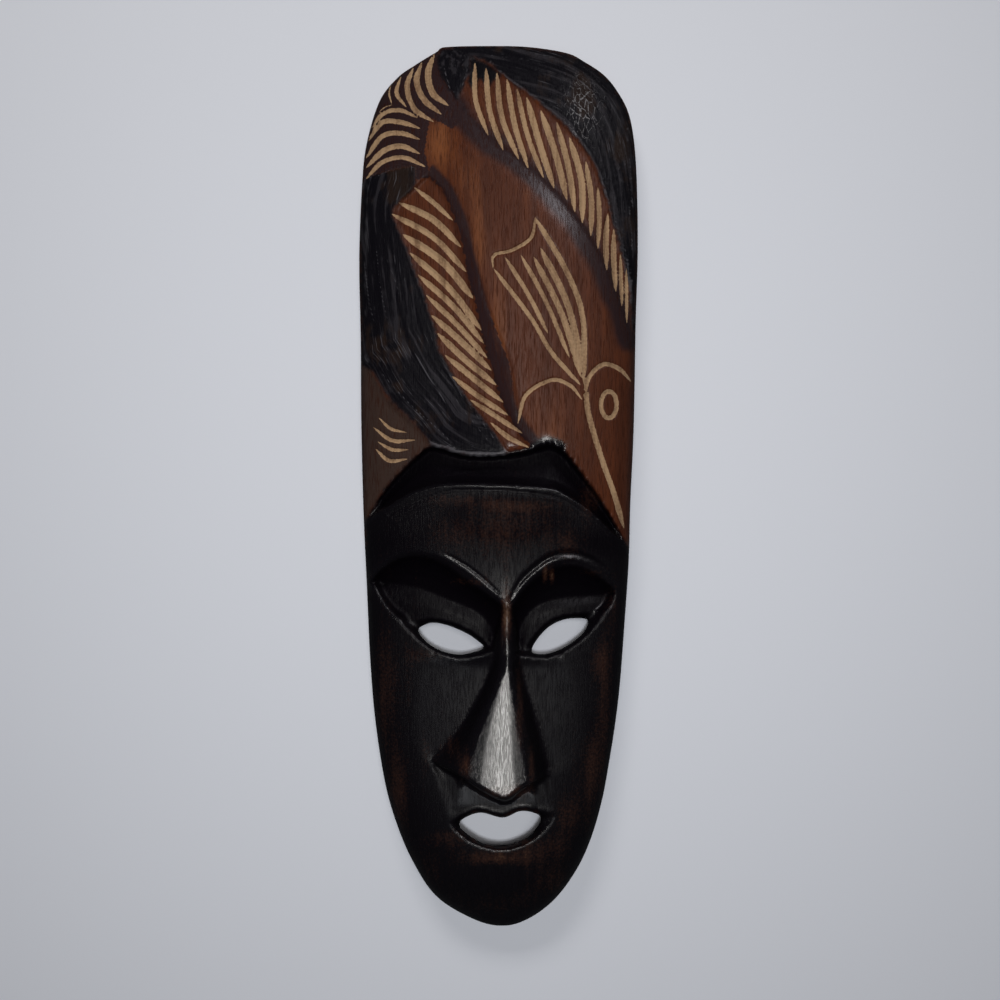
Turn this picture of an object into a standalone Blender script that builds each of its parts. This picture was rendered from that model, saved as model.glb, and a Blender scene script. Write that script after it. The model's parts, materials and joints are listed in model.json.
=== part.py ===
"""A tall wooden wall mask, carved from one plank: a panel with a bird above a long narrow face.

The mask lies on the flat rim of its hollow back, with its face up: +X is the viewer's right,
+Y runs towards the top of the mask and +Z comes out of the face. Sizes are metres.

The carving is drawn on a square sheet of 1000 units, x to the right and y down, as the mask looks
from SIGHT in front of it, where what stands nearer looks larger. A drawn point gets its height
from the carving's own rules, and its place follows from both.
"""
import bmesh
import bpy
import numpy as np
from mathutils import Vector
from mathutils.geometry import delaunay_2d_cdt

# Driving sizes of the block and its hollow
LENGTH = 0.440
WIDTH = 0.1395
DEPTH = 0.054
CROWN = 0.0365
EDGE_HEIGHT = 0.012
EDGE_ROUNDING = 0.0012
RIM_WIDTH = 0.0095
WALL = 0.008

# Depths of the carving
GROOVE_DEPTH = 0.0014
WING_DEPTH = 0.0018
BODY_RISE = 0.0018
HAIR_DEPTH = 0.0085
SOCKET_DEPTH = 0.0090
OPENING_BEVEL = 0.0045
FACET_DEPTH = 0.0018
CHEEK_SCOOP = 0.0024
BRIDGE_RISE = 0.0028

# The drawing: the mask's middle and its outline's width and length on the sheet
SHEET_MIDDLE = np.array((498.5, 486.0))
SHEET_WIDTH = 279.4
SHEET_LENGTH = 882.2
SIGHT = 1.166 * LENGTH

# How far in from the outline and from the eyes' corners, on the sheet, the carving takes to reach
# its full depth, and how far in from its ridges the bird's back takes to reach its full height
EDGE_FADE = 8.0
LID_FADE = 10.0
SHOULDER = 22.0
BODY_TOP_FADE = 34.0

# Spacing of the points that carry the surface, in sheet units: along lines, between them, around
# the openings, from a step's top to its foot, inside the outline, and the least of all
LINE_STEP = 11.0
EDGE_STEP = 14.3
STROKE_STEP = 16.5
FILL_STEP = 12.0
HOLE_STEP = 7.0
STEP_FOOT = 3.0
EDGE_LINES = (5.0, 13.0)
NEAREST = 0.6

# Spacing of the points of the hollow, how far around each the ceiling is evened out, how steeply
# its sides climb, and how far inside the rim its first rings of points run
HOLLOW_STEP = 0.0085
HOLLOW_REACH = 0.008
HOLLOW_SLOPE = 2.4
HOLLOW_RINGS = (0.0035, 0.0095)

# How much wider the openings are at the back than at the front, on each side
HOLE_FLARE = 0.0035

# Height of the plain block's middle line: sheet y, share of the way from the edge to the crown
CROWN_LINE = ((44, 0.08), (56, 0.30), (76, 0.52), (106, 0.72), (146, 0.86), (190, 0.94), (260, 0.99),
              (430, 1.0), (500, 0.99), (540, 0.98), (600, 0.90), (660, 0.86), (730, 0.87), (800, 0.88),
              (850, 0.83), (885, 0.66), (905, 0.45), (920, 0.20), (928, 0.05))
ROUNDNESS = 2.3

OUTLINE = ((445, 46), (490, 44.8), (530, 46), (567, 52), (585, 61), (603, 73), (616, 88), (628, 110),
           (634, 138), (637, 180), (638, 250), (636, 320), (634.8, 390), (633.5, 440), (630.5, 505),
           (629, 560), (625, 620), (620.5, 680), (616, 720), (609.8, 760), (602.4, 800),
           (591.5, 838), (577, 870), (555, 900), (529, 919.5), (503, 927), (473, 920), (436, 897),
           (411.5, 860), (395, 820), (384.2, 780), (375, 720), (370, 660), (366.8, 590), (363.2, 510),
           (361, 420), (360.5, 340), (359, 260), (361.5, 190), (366, 145), (379, 101), (397, 77),
           (415, 64), (437, 50.5))

# Edges between the fields of the upper panel
CAP_EDGE = ((470, 55), (488, 62), (510, 79), (550, 110.5), (580, 141), (596, 168), (610, 210),
            (624, 265), (630, 299), (632, 330))
BODY_RIGHT = ((459, 97), (470, 117), (488, 137), (520, 160), (548, 185), (580.5, 223), (605, 265),
              (620, 304), (632, 336))
BODY_LEFT = ((428, 174), (444, 191), (459, 230), (470, 277), (487, 350), (503, 400), (515, 425),
             (531, 446))
SIDE_EDGE = ((393, 214), (405, 243), (417, 275), (434.5, 325), (441.4, 354), (467, 396), (493, 429),
             (507, 451))
WING_TOP = ((428, 174), (414, 187), (399, 201), (393, 214))
BODY_TOP = ((459, 97), (445, 120), (428, 174))
CORNER_EDGE = ((362, 350), (372, 372), (391, 401.6), (416, 425), (434, 446))
PANEL_FOOT = ((362, 528), (370, 513), (389, 484), (418.6, 454), (434, 446), (468, 455), (507, 454),
              (538, 447), (549, 443.7), (565, 452), (588, 482), (611, 516), (631, 553))
ARCH = ((362, 523), (385, 508), (417, 491), (450, 484.5), (500, 485), (545, 488.5), (560, 492),
        (590, 510.5), (613, 532), (631, 548))

# Strokes with a bow: start, end, how far the middle bows to the right and up, width
RIGHT_WING_STROKES = (
    ((475, 62), (488, 134), -6, 5.0), ((486, 67), (503, 149), -5, 5.5),
    ((497, 72), (518.5, 158), -6, 5.0), ((507, 78), (528, 167), -3, 5.0),
    ((517, 88), (543.5, 177), -3, 4.5), ((527, 97), (554, 187), -1, 6.0),
    ((541, 110), (567, 199), 2, 5.5), ((557, 122), (575, 211), 2.5, 5.5),
    ((569.5, 137), (582.5, 222), 5.5, 6.0), ((586, 161), (591, 235), 3, 5.0),
    ((598, 187), (598, 248), 1.5, 4.5), ((608, 213), (607, 269.5), -1.5, 5.0),
    ((614, 229), (616, 291), -1, 5.5), ((620.5, 254), (622, 306), 0, 4.0),
    ((626.5, 268), (627, 322), 0, 3.5))
LEFT_WING_STROKES = (
    ((414.5, 187), (452.5, 219.5), 1, 4.5), ((399, 202), (460.5, 246), 6, 6.0),
    ((392, 213.5), (466, 271), 7, 5.5), ((403, 234), (473, 298), 6.5, 7.0),
    ((410, 252.5), (481, 329.5), 5, 5.5), ((418, 274.5), (483.5, 342.5), 3.5, 5.5),
    ((426.5, 295), (487, 357.5), 1.5, 5.0), ((431.5, 315), (491, 370), 1, 6.0),
    ((437.5, 333), (496, 384.5), -1.5, 6.0), ((445, 355), (503, 402), 0, 5.5),
    ((452, 376), (508, 415), -1.5, 5.0), ((470, 399.5), (522, 433), 0, 5.0),
    ((490.5, 422.5), (529, 447.5), -2.5, 5.0))
CLAW_STROKES = (
    ((379, 418), (406.6, 432.4), -4, 3.5), ((373.4, 427.4), (414.6, 440), -7, 4.0),
    ((378, 441.8), (408, 449.6), -4, 4.0), ((375.3, 448.8), (407, 459), -7, 4.0))

# Strokes that curl: their points, then their width
TAIL_STROKES = (
    (((434, 53), (428, 72), (432.5, 92), (448, 104.5)), 6.0),
    (((421.5, 61.5), (416.5, 80), (424, 98.6), (441, 113)), 5.5),
    (((413, 67), (407, 86), (414, 107.6), (433, 120.7)), 5.0),
    (((400.7, 76), (396.4, 92), (406, 106)), 4.0),
    (((371, 127), (384, 112), (401, 109.5), (417, 116.7)), 4.0),
    (((368, 140), (382, 121.5), (401, 121.5), (420, 127.5)), 4.5),
    (((366, 157), (382, 135.4), (401, 132.4), (419.6, 138.4)), 4.5),
    (((366, 167), (383, 150.3), (401, 145.3), (419.6, 152.8)), 5.0),
    (((366, 178), (382, 161.5), (403, 156.7), (425, 165.7)), 4.0))
FIN_STROKES = (
    (((535.5, 216), (531, 237), (512, 249.6), (494, 254.6), (493, 268)), 3.5),
    (((494, 268.5), (530, 316), (551.7, 352), (580.5, 384.7)), 4.5),
    (((505, 256.6), (528.3, 294), (548, 333)), 4.5),
    (((521, 254.6), (546, 301), (569.5, 357)), 4.0),
    (((534, 256.6), (561.6, 313), (581, 376)), 5.5),
    (((540.7, 247.6), (568, 305), (583.5, 372)), 6.0),
    (((536, 218), (567.5, 272.5), (583, 318), (584, 383)), 5.0))
HEAD_STROKES = (
    (((518, 423), (526, 395), (551, 380), (570, 385), (582, 399)), 4.0),
    (((586, 392), (590, 376), (604, 364), (620, 369), (631, 381)), 4.5),
    (((586, 378), (588, 410), (601, 456), (614, 493), (624, 528)), 5.5),
    (((437, 55), (434, 76), (447, 95), (462, 112)), 4.0),
    (((434.5, 345), (455, 390), (485, 428), (502, 447)), 3.5))
EYE_RING_MIDDLE = (609, 404.5)
EYE_RING_REACH = (7.7, 13.4)
EYE_RING_STROKE = 4.5

# The face: each curve is drawn once and shared by the fields on both of its sides
LEFT_BROW = ((370, 577), (388, 560), (404, 553), (420, 551.5), (440, 555), (467, 571.5), (505, 603))
LEFT_BROW_FOOT = ((371, 581), (388, 565), (404, 557.5), (424, 557), (445, 565), (470, 583), (504, 607))
LEFT_LID = ((371, 583), (400, 585), (425, 590.5), (450, 601), (478, 613), (490, 628), (494, 650))
LEFT_LID_SIDE = ((371, 584), (379, 600), (390, 614), (400, 622))
LEFT_EYE_TOP = ((400, 622), (415, 621.5), (433, 621), (450, 624.5), (468, 632), (483, 642), (493, 650))
LEFT_EYE_FOOT = ((400, 622), (412, 634), (425, 645), (440, 653), (460, 658), (480, 655.5), (493, 650))
LEFT_HOLE = ((418, 631), (424, 625.5), (434, 623), (450, 626.5), (467, 634), (478, 641.5), (484, 648),
             (474, 652.5), (459, 655), (442, 651.5), (427, 643))
RIGHT_GROOVE = ((508, 602), (518, 580), (530, 568), (543, 557.5), (558, 551), (575, 550.5), (592, 557),
                (607, 568), (621, 587))
RIGHT_BROW = ((509, 604), (524, 583), (542, 567), (555, 560), (568, 558), (583, 560), (603, 571), (619, 589))
RIGHT_BROW_FOOT = ((512, 607), (526, 588), (545, 572), (562, 566), (578, 566.5), (596, 575), (616, 592))
RIGHT_LID = ((519, 654), (520, 630), (531, 611), (550, 601.5), (575, 597.5), (603, 595), (617, 593.5))
RIGHT_LID_SIDE = ((604, 616), (611, 609), (615, 602), (617, 594))
RIGHT_EYE_TOP = ((520, 655), (530, 643), (545, 627), (560, 618.5), (575, 616), (595, 612.5), (604, 616))
RIGHT_EYE_FOOT = ((520, 655), (532, 657.5), (548, 657.5), (563, 652), (579, 642), (596, 626.5), (604, 616))
RIGHT_HOLE = ((532, 652.5), (536, 641.5), (548, 628), (562, 620.5), (576, 618.5), (588, 620.5), (585, 631),
              (574, 641.5), (560, 650), (545, 654.5))
NOSE_LEFT_FOOT = ((506, 603), (500, 625), (493, 655), (487, 680), (474, 706), (452, 738), (430, 760.5))
NOSE_LEFT_EDGE = ((507.5, 603), (505.5, 630), (503, 662), (494, 685), (484, 712), (472, 745),
                  (462, 778), (456, 806))
NOSE_RIGHT_EDGE = ((508.5, 603), (510, 630), (513, 665), (518, 700), (522.5, 730), (529, 765),
                   (533, 784), (536, 806))
NOSE_RIGHT_FOOT = ((510, 603), (516, 625), (519, 655), (524.5, 683), (533.5, 710), (544.5, 750), (549, 775))
NOSE_BASE = ((430, 760.5), (462, 778), (480, 790), (505, 801.5), (520, 791.5), (534, 783), (549, 775))
NOSE_TIP = np.array(((505, 801.5),))
MOUTH_TOP = ((449, 824), (466, 815), (480, 811.3), (503, 816), (520, 809.7), (537, 811.5), (557, 815.5))
MOUTH_FOOT = ((449, 824), (459, 834), (472, 843.5), (500, 850.5), (525, 845), (545, 831), (557, 815.5))
MOUTH_HOLE = ((459, 825.5), (465, 818.5), (481, 813.5), (503, 818.5), (520, 812), (535, 814), (541, 820),
              (532, 834.5), (517, 844), (500, 847.5), (482, 844), (466, 834))
LEFT_CHEEK = ((432, 655), (423, 675), (417, 700), (416, 725), (421, 748), (430, 760.5))
RIGHT_CHEEK = ((560, 655), (571, 680), (579, 710), (581, 738), (571, 762), (549, 775))
BRIDGE = (505, 610)
BRIDGE_REACH = (20, 24)

# How far the nose stands out of the block at each sheet y, as a share of its tip's
NOSE_LINE = ((603, 0.0), (640, 0.21), (700, 0.48), (750, 0.72), (801.5, 1.0))

# Across the nose: place from one line to the next, share of the nose's height
NOSE_LEFT_SIDE = ((0, 0), (0.2, 0.15), (0.6, 0.62), (0.85, 0.84), (1, 0.93))
NOSE_FRONT = ((0, 0.93), (0.25, 0.985), (0.5, 1.0), (0.75, 0.988), (1, 0.94))
NOSE_RIGHT_SIDE = ((0, 0.94), (0.15, 0.83), (0.8, 0.1), (1, 0))

# Rows of the cheek's scoop on the sheet: where it starts, is full, starts to run out and ends
CHEEK_ROWS = (648, 670, 766, 782)


def smooth_curve(points, closed=False, per_span=10):
    """Fine points of a smooth curve that passes through each given point."""
    given = np.array(points, float)
    if closed:
        guide = np.vstack((given[-1], given, given[0], given[1]))
    else:
        guide = np.vstack((2 * given[0] - given[1], given, 2 * given[-1] - given[-2]))
    steps = np.linspace(0.0, 1.0, per_span, endpoint=False)[:, None]
    parts = []
    for before, start, end, after in zip(guide, guide[1:], guide[2:], guide[3:]):
        parts.append(0.5 * (2 * start + (end - before) * steps
                            + (2 * before - 5 * start + 4 * end - after) * steps ** 2
                            + (3 * start - before - 3 * end + after) * steps ** 3))
    fine = np.vstack(parts)
    if closed:
        return np.vstack((fine, fine[0]))
    return np.vstack((fine, given[-1]))


def spaced(line, step, fewest=3):
    """The same line with points about one step apart."""
    run = np.concatenate(([0.0], np.cumsum(np.hypot(*np.diff(line, axis=0).T))))
    count = max(fewest, int(round(run[-1] / step)))
    places = np.linspace(0.0, run[-1], count + 1)
    return np.column_stack([np.interp(places, run, axis) for axis in line.T])


def beside(line, offset):
    """A line that runs beside another, by one distance or by one for each point."""
    along = np.gradient(line, axis=0)
    along /= np.maximum(np.hypot(along[:, 0], along[:, 1]), 1e-9)[:, None]
    across = np.column_stack((-along[:, 1], along[:, 0]))
    return line + across * np.broadcast_to(offset, (len(line),))[:, None]


def bowed(start, end, bow):
    """A shallow arc from start to end whose middle stands off the straight line by the bow."""
    start, end = np.array(start, float), np.array(end, float)
    run = end - start
    aside = np.array((run[1], -run[0])) / np.hypot(*run)
    return smooth_curve((start, (start + end) / 2 + aside * bow, end))


def between(first, second, share):
    """The line that lies the given share of the way from the first line to the second."""
    along = np.linspace(0.0, 1.0, 60)
    matched = []
    for line in (first, second):
        places = np.linspace(0.0, 1.0, len(line))
        matched.append(np.column_stack([np.interp(along, places, axis) for axis in line.T]))
    return matched[0] + (matched[1] - matched[0]) * share


def ellipse(middle, reach, count=24):
    turn = np.linspace(0.0, 2 * np.pi, count + 1)
    return np.column_stack((middle[0] + reach[0] * np.cos(turn), middle[1] + reach[1] * np.sin(turn)))


def distance_to(points, line):
    """Distance from each point to the nearest place on a line."""
    nearest = np.full(len(points), np.inf)
    for start, end in zip(line[:-1], line[1:]):
        run = end - start
        share = np.clip((points - start) @ run / max(run @ run, 1e-12), 0.0, 1.0)
        away = points - start - share[:, None] * run
        nearest = np.minimum(nearest, np.hypot(away[:, 0], away[:, 1]))
    return nearest


def inside(points, loop):
    """True for each point inside a closed loop."""
    result = np.zeros(len(points), bool)
    x, y = points[:, 0], points[:, 1]
    for (x1, y1), (x2, y2) in zip(loop, np.roll(loop, -1, axis=0)):
        crosses = (y1 > y) != (y2 > y)
        if y1 != y2:
            result ^= crosses & (x < (x2 - x1) * (y - y1) / (y2 - y1) + x1)
    return result


def ease(share):
    share = np.clip(share, 0.0, 1.0)
    return share * share * (3 - 2 * share)


class Field:
    """The strip of surface between two lines, with a height that depends on the place across it."""

    def __init__(self, first, second):
        self.first = first
        self.second = second
        self.loop = np.vstack((first, second[::-1]))

    def across(self, points):
        """Which points lie in the strip, and their place from 0 on the first line to 1 on the second."""
        held = inside(points, self.loop)
        share = np.zeros(len(points))
        if held.any():
            near = distance_to(points[held], self.first)
            far = distance_to(points[held], self.second)
            share[held] = near / np.maximum(near + far, 1e-9)
        return held, share

    def heights(self, points, profile):
        held, share = self.across(points)
        places, heights = zip(*profile)
        return np.where(held, np.interp(share, places, heights), 0.0)


def crown_height(points):
    """Height of the plain rounded block, before any carving."""
    left = np.interp(points[:, 1], *OUTLINE_LEFT)
    right = np.interp(points[:, 1], *OUTLINE_RIGHT)
    half = np.maximum((right - left) / 2, 1e-6)
    off_middle = np.clip(np.abs(points[:, 0] - (left + right) / 2) / half, 0.0, 1.0)
    middle = np.interp(points[:, 1], *smooth_curve(CROWN_LINE).T)
    roundness = (1 - off_middle ** ROUNDNESS) ** (1 / ROUNDNESS)
    return EDGE_HEIGHT + (CROWN - EDGE_HEIGHT) * middle * roundness


def outline_sides(outline):
    """The outline's left and right side as x for each y, to look up the block's half width."""
    ring = np.roll(outline[:-1], -outline[:, 1].argmin(), axis=0)
    bottom = ring[:, 1].argmax()
    right, left = ring[:bottom + 1], np.vstack((ring[bottom:], ring[:1]))[::-1]
    return (left[:, 1], left[:, 0]), (right[:, 1], right[:, 0])


OUTLINE_CURVE = smooth_curve(OUTLINE, closed=True)
OUTLINE_LEFT, OUTLINE_RIGHT = outline_sides(OUTLINE_CURVE)


def all_strokes():
    """Every groove as its middle line and its width."""
    for start, end, bow, width in RIGHT_WING_STROKES + LEFT_WING_STROKES + CLAW_STROKES:
        yield bowed(start, end, bow), width
    for points, width in TAIL_STROKES + FIN_STROKES + HEAD_STROKES:
        yield smooth_curve(points), width
    yield ellipse(EYE_RING_MIDDLE, EYE_RING_REACH), EYE_RING_STROKE


def groove_cut(points, line, width):
    """Depth of a groove that is cut as a V, which runs out to a point at both ends."""
    depth = np.zeros(len(points))
    low, high = line.min(axis=0) - width, line.max(axis=0) + width
    close = np.all((points > low) & (points < high), axis=1)
    if close.any():
        away = distance_to(points[close], line)
        depth[close] = np.clip(1 - 2 * away / width, 0.0, 1.0)
    return GROOVE_DEPTH * depth


def panel_relief(points):
    """The raised bird, its two sunk wings, and the black side and corner of the upper panel."""
    cap, body_right = smooth_curve(CAP_EDGE), smooth_curve(BODY_RIGHT)
    body_left, side = smooth_curve(BODY_LEFT), smooth_curve(SIDE_EDGE)
    sunk = ((0, 0), (0.06, -WING_DEPTH), (0.92, -0.8 * WING_DEPTH), (1, 0))
    height = Field(cap, body_right).heights(points, sunk)
    left_wing = np.vstack((smooth_curve(WING_TOP), side))
    height += Field(left_wing, body_left).heights(points, sunk)
    body = np.vstack((body_right, ((660, 360), (660, 600), (480, 500)), body_left[::-1], ((445, 120),)))
    held = inside(points, body)
    shoulder = np.minimum(distance_to(points, body_right), distance_to(points, body_left))
    from_top = ease(distance_to(points, np.array(BODY_TOP, float)) / BODY_TOP_FADE)
    height += np.where(held, BODY_RISE * from_top * np.sqrt(ease(shoulder / SHOULDER)), 0.0)
    corner = np.vstack((smooth_curve(CORNER_EDGE), ((362, 528), (340, 528), (340, 350))))
    step = distance_to(points, smooth_curve(CORNER_EDGE))
    return height - np.where(inside(points, corner), 0.6 * WING_DEPTH * ease(step / 4), 0.0)


def hair_relief(points):
    """The black band under the panel: deep below the panel, rising to the arch over the forehead."""
    band = Field(smooth_curve(PANEL_FOOT), smooth_curve(ARCH))
    return band.heights(points, ((0, 0), (0.08, -HAIR_DEPTH), (0.45, -0.86 * HAIR_DEPTH),
                                 (0.75, -0.60 * HAIR_DEPTH), (0.93, -0.18 * HAIR_DEPTH), (1, 0)))


def rim_slope(points, top, foot, hole):
    """How far down the slope from an opening's rim to its hole each point is, and how near the top."""
    rim = np.vstack((top, foot[::-1]))
    opening = smooth_curve(hole, closed=True)
    from_rim = distance_to(points, rim)
    to_hole = np.where(inside(points, opening), 0.0, distance_to(points, opening))
    to_top, to_foot = distance_to(points, top), distance_to(points, foot)
    held = inside(points, rim)
    sunk = np.where(held, from_rim / np.maximum(from_rim + to_hole, 1e-9), 0.0)
    return held, sunk, to_foot / np.maximum(to_foot + to_top, 1e-9)


def eye_relief(points, brow, brow_foot, lid, lid_foot, corner, eye_top, eye_foot, hole):
    """One eye: brow, deep socket, lid, and the rim that slopes into the opening."""
    brow, foot, lid = smooth_curve(brow), smooth_curve(brow_foot), smooth_curve(lid)
    top, rim_foot, corner = smooth_curve(eye_top), smooth_curve(eye_foot), smooth_curve(corner)
    bead, top_depth = 0.13 * SOCKET_DEPTH, 0.70 * SOCKET_DEPTH
    height = Field(brow, foot).heights(points, ((0, 0), (1, -bead)))
    height += Field(foot, lid).heights(
        points, ((0, -bead), (0.12, -0.44 * SOCKET_DEPTH), (0.30, -0.68 * SOCKET_DEPTH),
                 (0.60, -0.88 * SOCKET_DEPTH), (1, -SOCKET_DEPTH)))
    height += Field(lid, lid_foot).heights(
        points, ((0, -SOCKET_DEPTH), (0.15, -0.92 * SOCKET_DEPTH), (0.5, -0.78 * SOCKET_DEPTH),
                 (1, -top_depth)))
    held, sunk, near_top = rim_slope(points, top, rim_foot, hole)
    height += np.where(held, -top_depth * ease(near_top), 0.0)
    height *= ease(distance_to(points, corner) / LID_FADE)
    return height - OPENING_BEVEL * sunk


def nose_relief(points):
    """A long wedge: two steep sides and a narrow front that widens towards the tip."""
    left_foot, left_edge = smooth_curve(NOSE_LEFT_FOOT), smooth_curve(NOSE_LEFT_EDGE)
    right_edge, right_foot = smooth_curve(NOSE_RIGHT_EDGE), smooth_curve(NOSE_RIGHT_FOOT)
    stands = (DEPTH - crown_height(NOSE_TIP)) * np.interp(points[:, 1], *smooth_curve(NOSE_LINE).T)
    shape = Field(left_foot, left_edge).heights(points, NOSE_LEFT_SIDE)
    shape += Field(left_edge, right_edge).heights(points, NOSE_FRONT)
    shape += Field(right_edge, right_foot).heights(points, NOSE_RIGHT_SIDE)
    above = points[:, 1] < np.interp(points[:, 0], *smooth_curve(NOSE_BASE).T) + NEAREST
    return np.where(above, stands * shape, 0.0)


def cheek_relief(points):
    """The flat scoop of each cheek, deepest beside the nose, and the swell of the nose's bridge."""
    height = np.zeros(len(points))
    for cheek, foot, edge in ((LEFT_CHEEK, NOSE_LEFT_FOOT, NOSE_LEFT_EDGE),
                              (RIGHT_CHEEK, NOSE_RIGHT_FOOT, NOSE_RIGHT_EDGE)):
        cheek, foot, edge = smooth_curve(cheek), smooth_curve(foot), smooth_curve(edge)
        height += Field(cheek, foot).heights(points, ((0, 0), (0.12, -0.25), (0.8, -1.0), (1, -1.0)))
        height += Field(foot, edge).heights(points, ((0, -1.0), (1, 0)))
    start, full, waning, end = CHEEK_ROWS
    rows = points[:, 1]
    fade = ease((rows - start) / (full - start)) * (1 - 0.5 * ease((rows - full) / (waning - full)))
    fade *= ease((end - rows) / (end - waning))
    away = ((points - BRIDGE) / BRIDGE_REACH) ** 2
    return CHEEK_SCOOP * fade * height + BRIDGE_RISE * np.exp(-away.sum(axis=1))


def mouth_relief(points):
    """The two flat facets under the nose, and the rim that slopes into the mouth."""
    base, top = beside(smooth_curve(NOSE_BASE), 2 * NEAREST), smooth_curve(MOUTH_TOP)
    height = Field(base, top).heights(points, ((0, -FACET_DEPTH), (0.8, -0.5 * FACET_DEPTH), (1, 0)))
    for end in (0, -1):
        height *= ease(distance_to(points, np.vstack((base[end], top[end]))) / LID_FADE)
    return height - OPENING_BEVEL * rim_slope(points, top, smooth_curve(MOUTH_FOOT), MOUTH_HOLE)[1]


def face_height(points):
    """Height of the large forms at each drawn point, and what the fine carving and nose add to it."""
    left_foot = np.vstack((smooth_curve(LEFT_LID_SIDE), smooth_curve(LEFT_EYE_TOP)))
    right_foot = np.vstack((smooth_curve(RIGHT_EYE_TOP), smooth_curve(RIGHT_LID_SIDE)))
    large = hair_relief(points) + mouth_relief(points) + cheek_relief(points)
    large += eye_relief(points, LEFT_BROW, LEFT_BROW_FOOT, LEFT_LID, left_foot, LEFT_LID_SIDE,
                        LEFT_EYE_TOP, LEFT_EYE_FOOT, LEFT_HOLE)
    large += eye_relief(points, RIGHT_BROW, RIGHT_BROW_FOOT, RIGHT_LID, right_foot, RIGHT_LID_SIDE,
                        RIGHT_EYE_TOP, RIGHT_EYE_FOOT, RIGHT_HOLE)
    fine = panel_relief(points)
    for line, width in all_strokes():
        fine -= groove_cut(points, line, width)
    fine[points[:, 1] > np.interp(points[:, 0], *smooth_curve(PANEL_FOOT).T)] = 0.0
    groove = Field(smooth_curve(RIGHT_GROOVE), smooth_curve(RIGHT_BROW))
    fine += groove.heights(points, ((0, 0), (0.5, -GROOVE_DEPTH * 1.5), (1, 0)))
    inward = ease(distance_to(points, OUTLINE_CURVE) / EDGE_FADE)
    return crown_height(points) + inward * large, inward * fine + nose_relief(points)


def place(points, height):
    """The place in the world of drawn points, given their heights."""
    nearness = (SIGHT - height) / (SIGHT - EDGE_HEIGHT)
    x = (points[:, 0] - SHEET_MIDDLE[0]) * WIDTH / SHEET_WIDTH * nearness
    y = (SHEET_MIDDLE[1] - points[:, 1]) * LENGTH / SHEET_LENGTH * nearness
    return np.column_stack((x, y, height))


def guide_lines():
    """Every line that the surface's edges follow, in sheet units."""
    yield spaced(OUTLINE_CURVE, LINE_STEP)
    for hole in (LEFT_HOLE, RIGHT_HOLE, MOUTH_HOLE):
        yield spaced(smooth_curve(hole, closed=True), HOLE_STEP)
    for offset in EDGE_LINES:
        yield spaced(beside(spaced(OUTLINE_CURVE, LINE_STEP), offset), LINE_STEP)
    for points, offset in ((CAP_EDGE, STEP_FOOT), (SIDE_EDGE, -STEP_FOOT), (CORNER_EDGE, STEP_FOOT)):
        line = spaced(smooth_curve(points), EDGE_STEP)
        yield line
        yield beside(line, offset)
    for points in (BODY_RIGHT, BODY_LEFT, ARCH, LEFT_BROW, LEFT_BROW_FOOT, LEFT_LID, LEFT_LID_SIDE,
                   LEFT_EYE_TOP, LEFT_EYE_FOOT, RIGHT_GROOVE, RIGHT_BROW, RIGHT_BROW_FOOT, RIGHT_LID,
                   RIGHT_LID_SIDE, RIGHT_EYE_TOP, RIGHT_EYE_FOOT, NOSE_LEFT_FOOT, NOSE_LEFT_EDGE,
                   NOSE_RIGHT_EDGE, NOSE_RIGHT_FOOT, MOUTH_TOP, MOUTH_FOOT, LEFT_CHEEK, RIGHT_CHEEK):
        yield spaced(smooth_curve(points), LINE_STEP)
    for points, offset in ((PANEL_FOOT, STEP_FOOT), (NOSE_BASE, STEP_FOOT / 2),
                           (LEFT_BROW_FOOT, STEP_FOOT), (RIGHT_BROW_FOOT, STEP_FOOT)):
        line = spaced(smooth_curve(points), LINE_STEP)
        yield line
        yield beside(line, offset)
    for foot, lid in ((LEFT_BROW_FOOT, LEFT_LID), (RIGHT_BROW_FOOT, RIGHT_LID)):
        for share in (0.35, 0.72):
            yield spaced(between(smooth_curve(foot), smooth_curve(lid), share)[8:-8], LINE_STEP)
    for points, offset in ((BODY_RIGHT, -4.0), (BODY_LEFT, 4.0)):
        yield beside(spaced(smooth_curve(points), STROKE_STEP), offset)
    for line, width in all_strokes():
        turning = np.hypot(*(line[0] - line[-1])) < np.ptp(line, axis=0).max() / 2
        middle = spaced(line, STROKE_STEP, fewest=12 if turning else 4)
        yield middle
        for side in (-0.5, 0.5):
            edge = beside(middle, side * width)
            yield edge if turning else np.vstack((middle[:1], edge[1:-1], middle[-1:]))


def clearance(points, lines):
    """Distance from each point to the nearest of several lines."""
    return np.min([distance_to(points, line) for line in lines], axis=0)


def fill_points(lines, loop, step):
    """An even spread of points inside a loop that keeps clear of the lines."""
    low, high = loop.min(axis=0), loop.max(axis=0)
    rows = np.arange(low[1], high[1], step * 0.866)
    spread = []
    for index, y in enumerate(rows):
        x = np.arange(low[0] + (index % 2) * step / 2, high[0], step)
        spread.append(np.column_stack((x, np.full(len(x), y))))
    spread = np.vstack(spread)
    spread = spread[inside(spread, loop)]
    return spread[clearance(spread, lines) > 0.55 * step]


def triangulate(lines, extra, loop, holes, nearest):
    """Triangles between the lines and the extra points, inside the loop and outside the holes."""
    points, edges = [], []
    for line in lines:
        start = len(points)
        points.extend(line.tolist())
        edges.extend((start + index, start + index + 1) for index in range(len(line) - 1))
    points.extend(extra.tolist())
    result = delaunay_2d_cdt([Vector(point) for point in points], edges, [], 0, nearest, False)
    verts = np.array([tuple(point) for point in result[0]])
    faces = np.array([tuple(face) for face in result[2]])
    middles = verts[faces].mean(axis=1)
    kept = inside(middles, loop)
    for hole in holes:
        kept &= ~inside(middles, hole)
    return verts, faces[kept]


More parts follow.
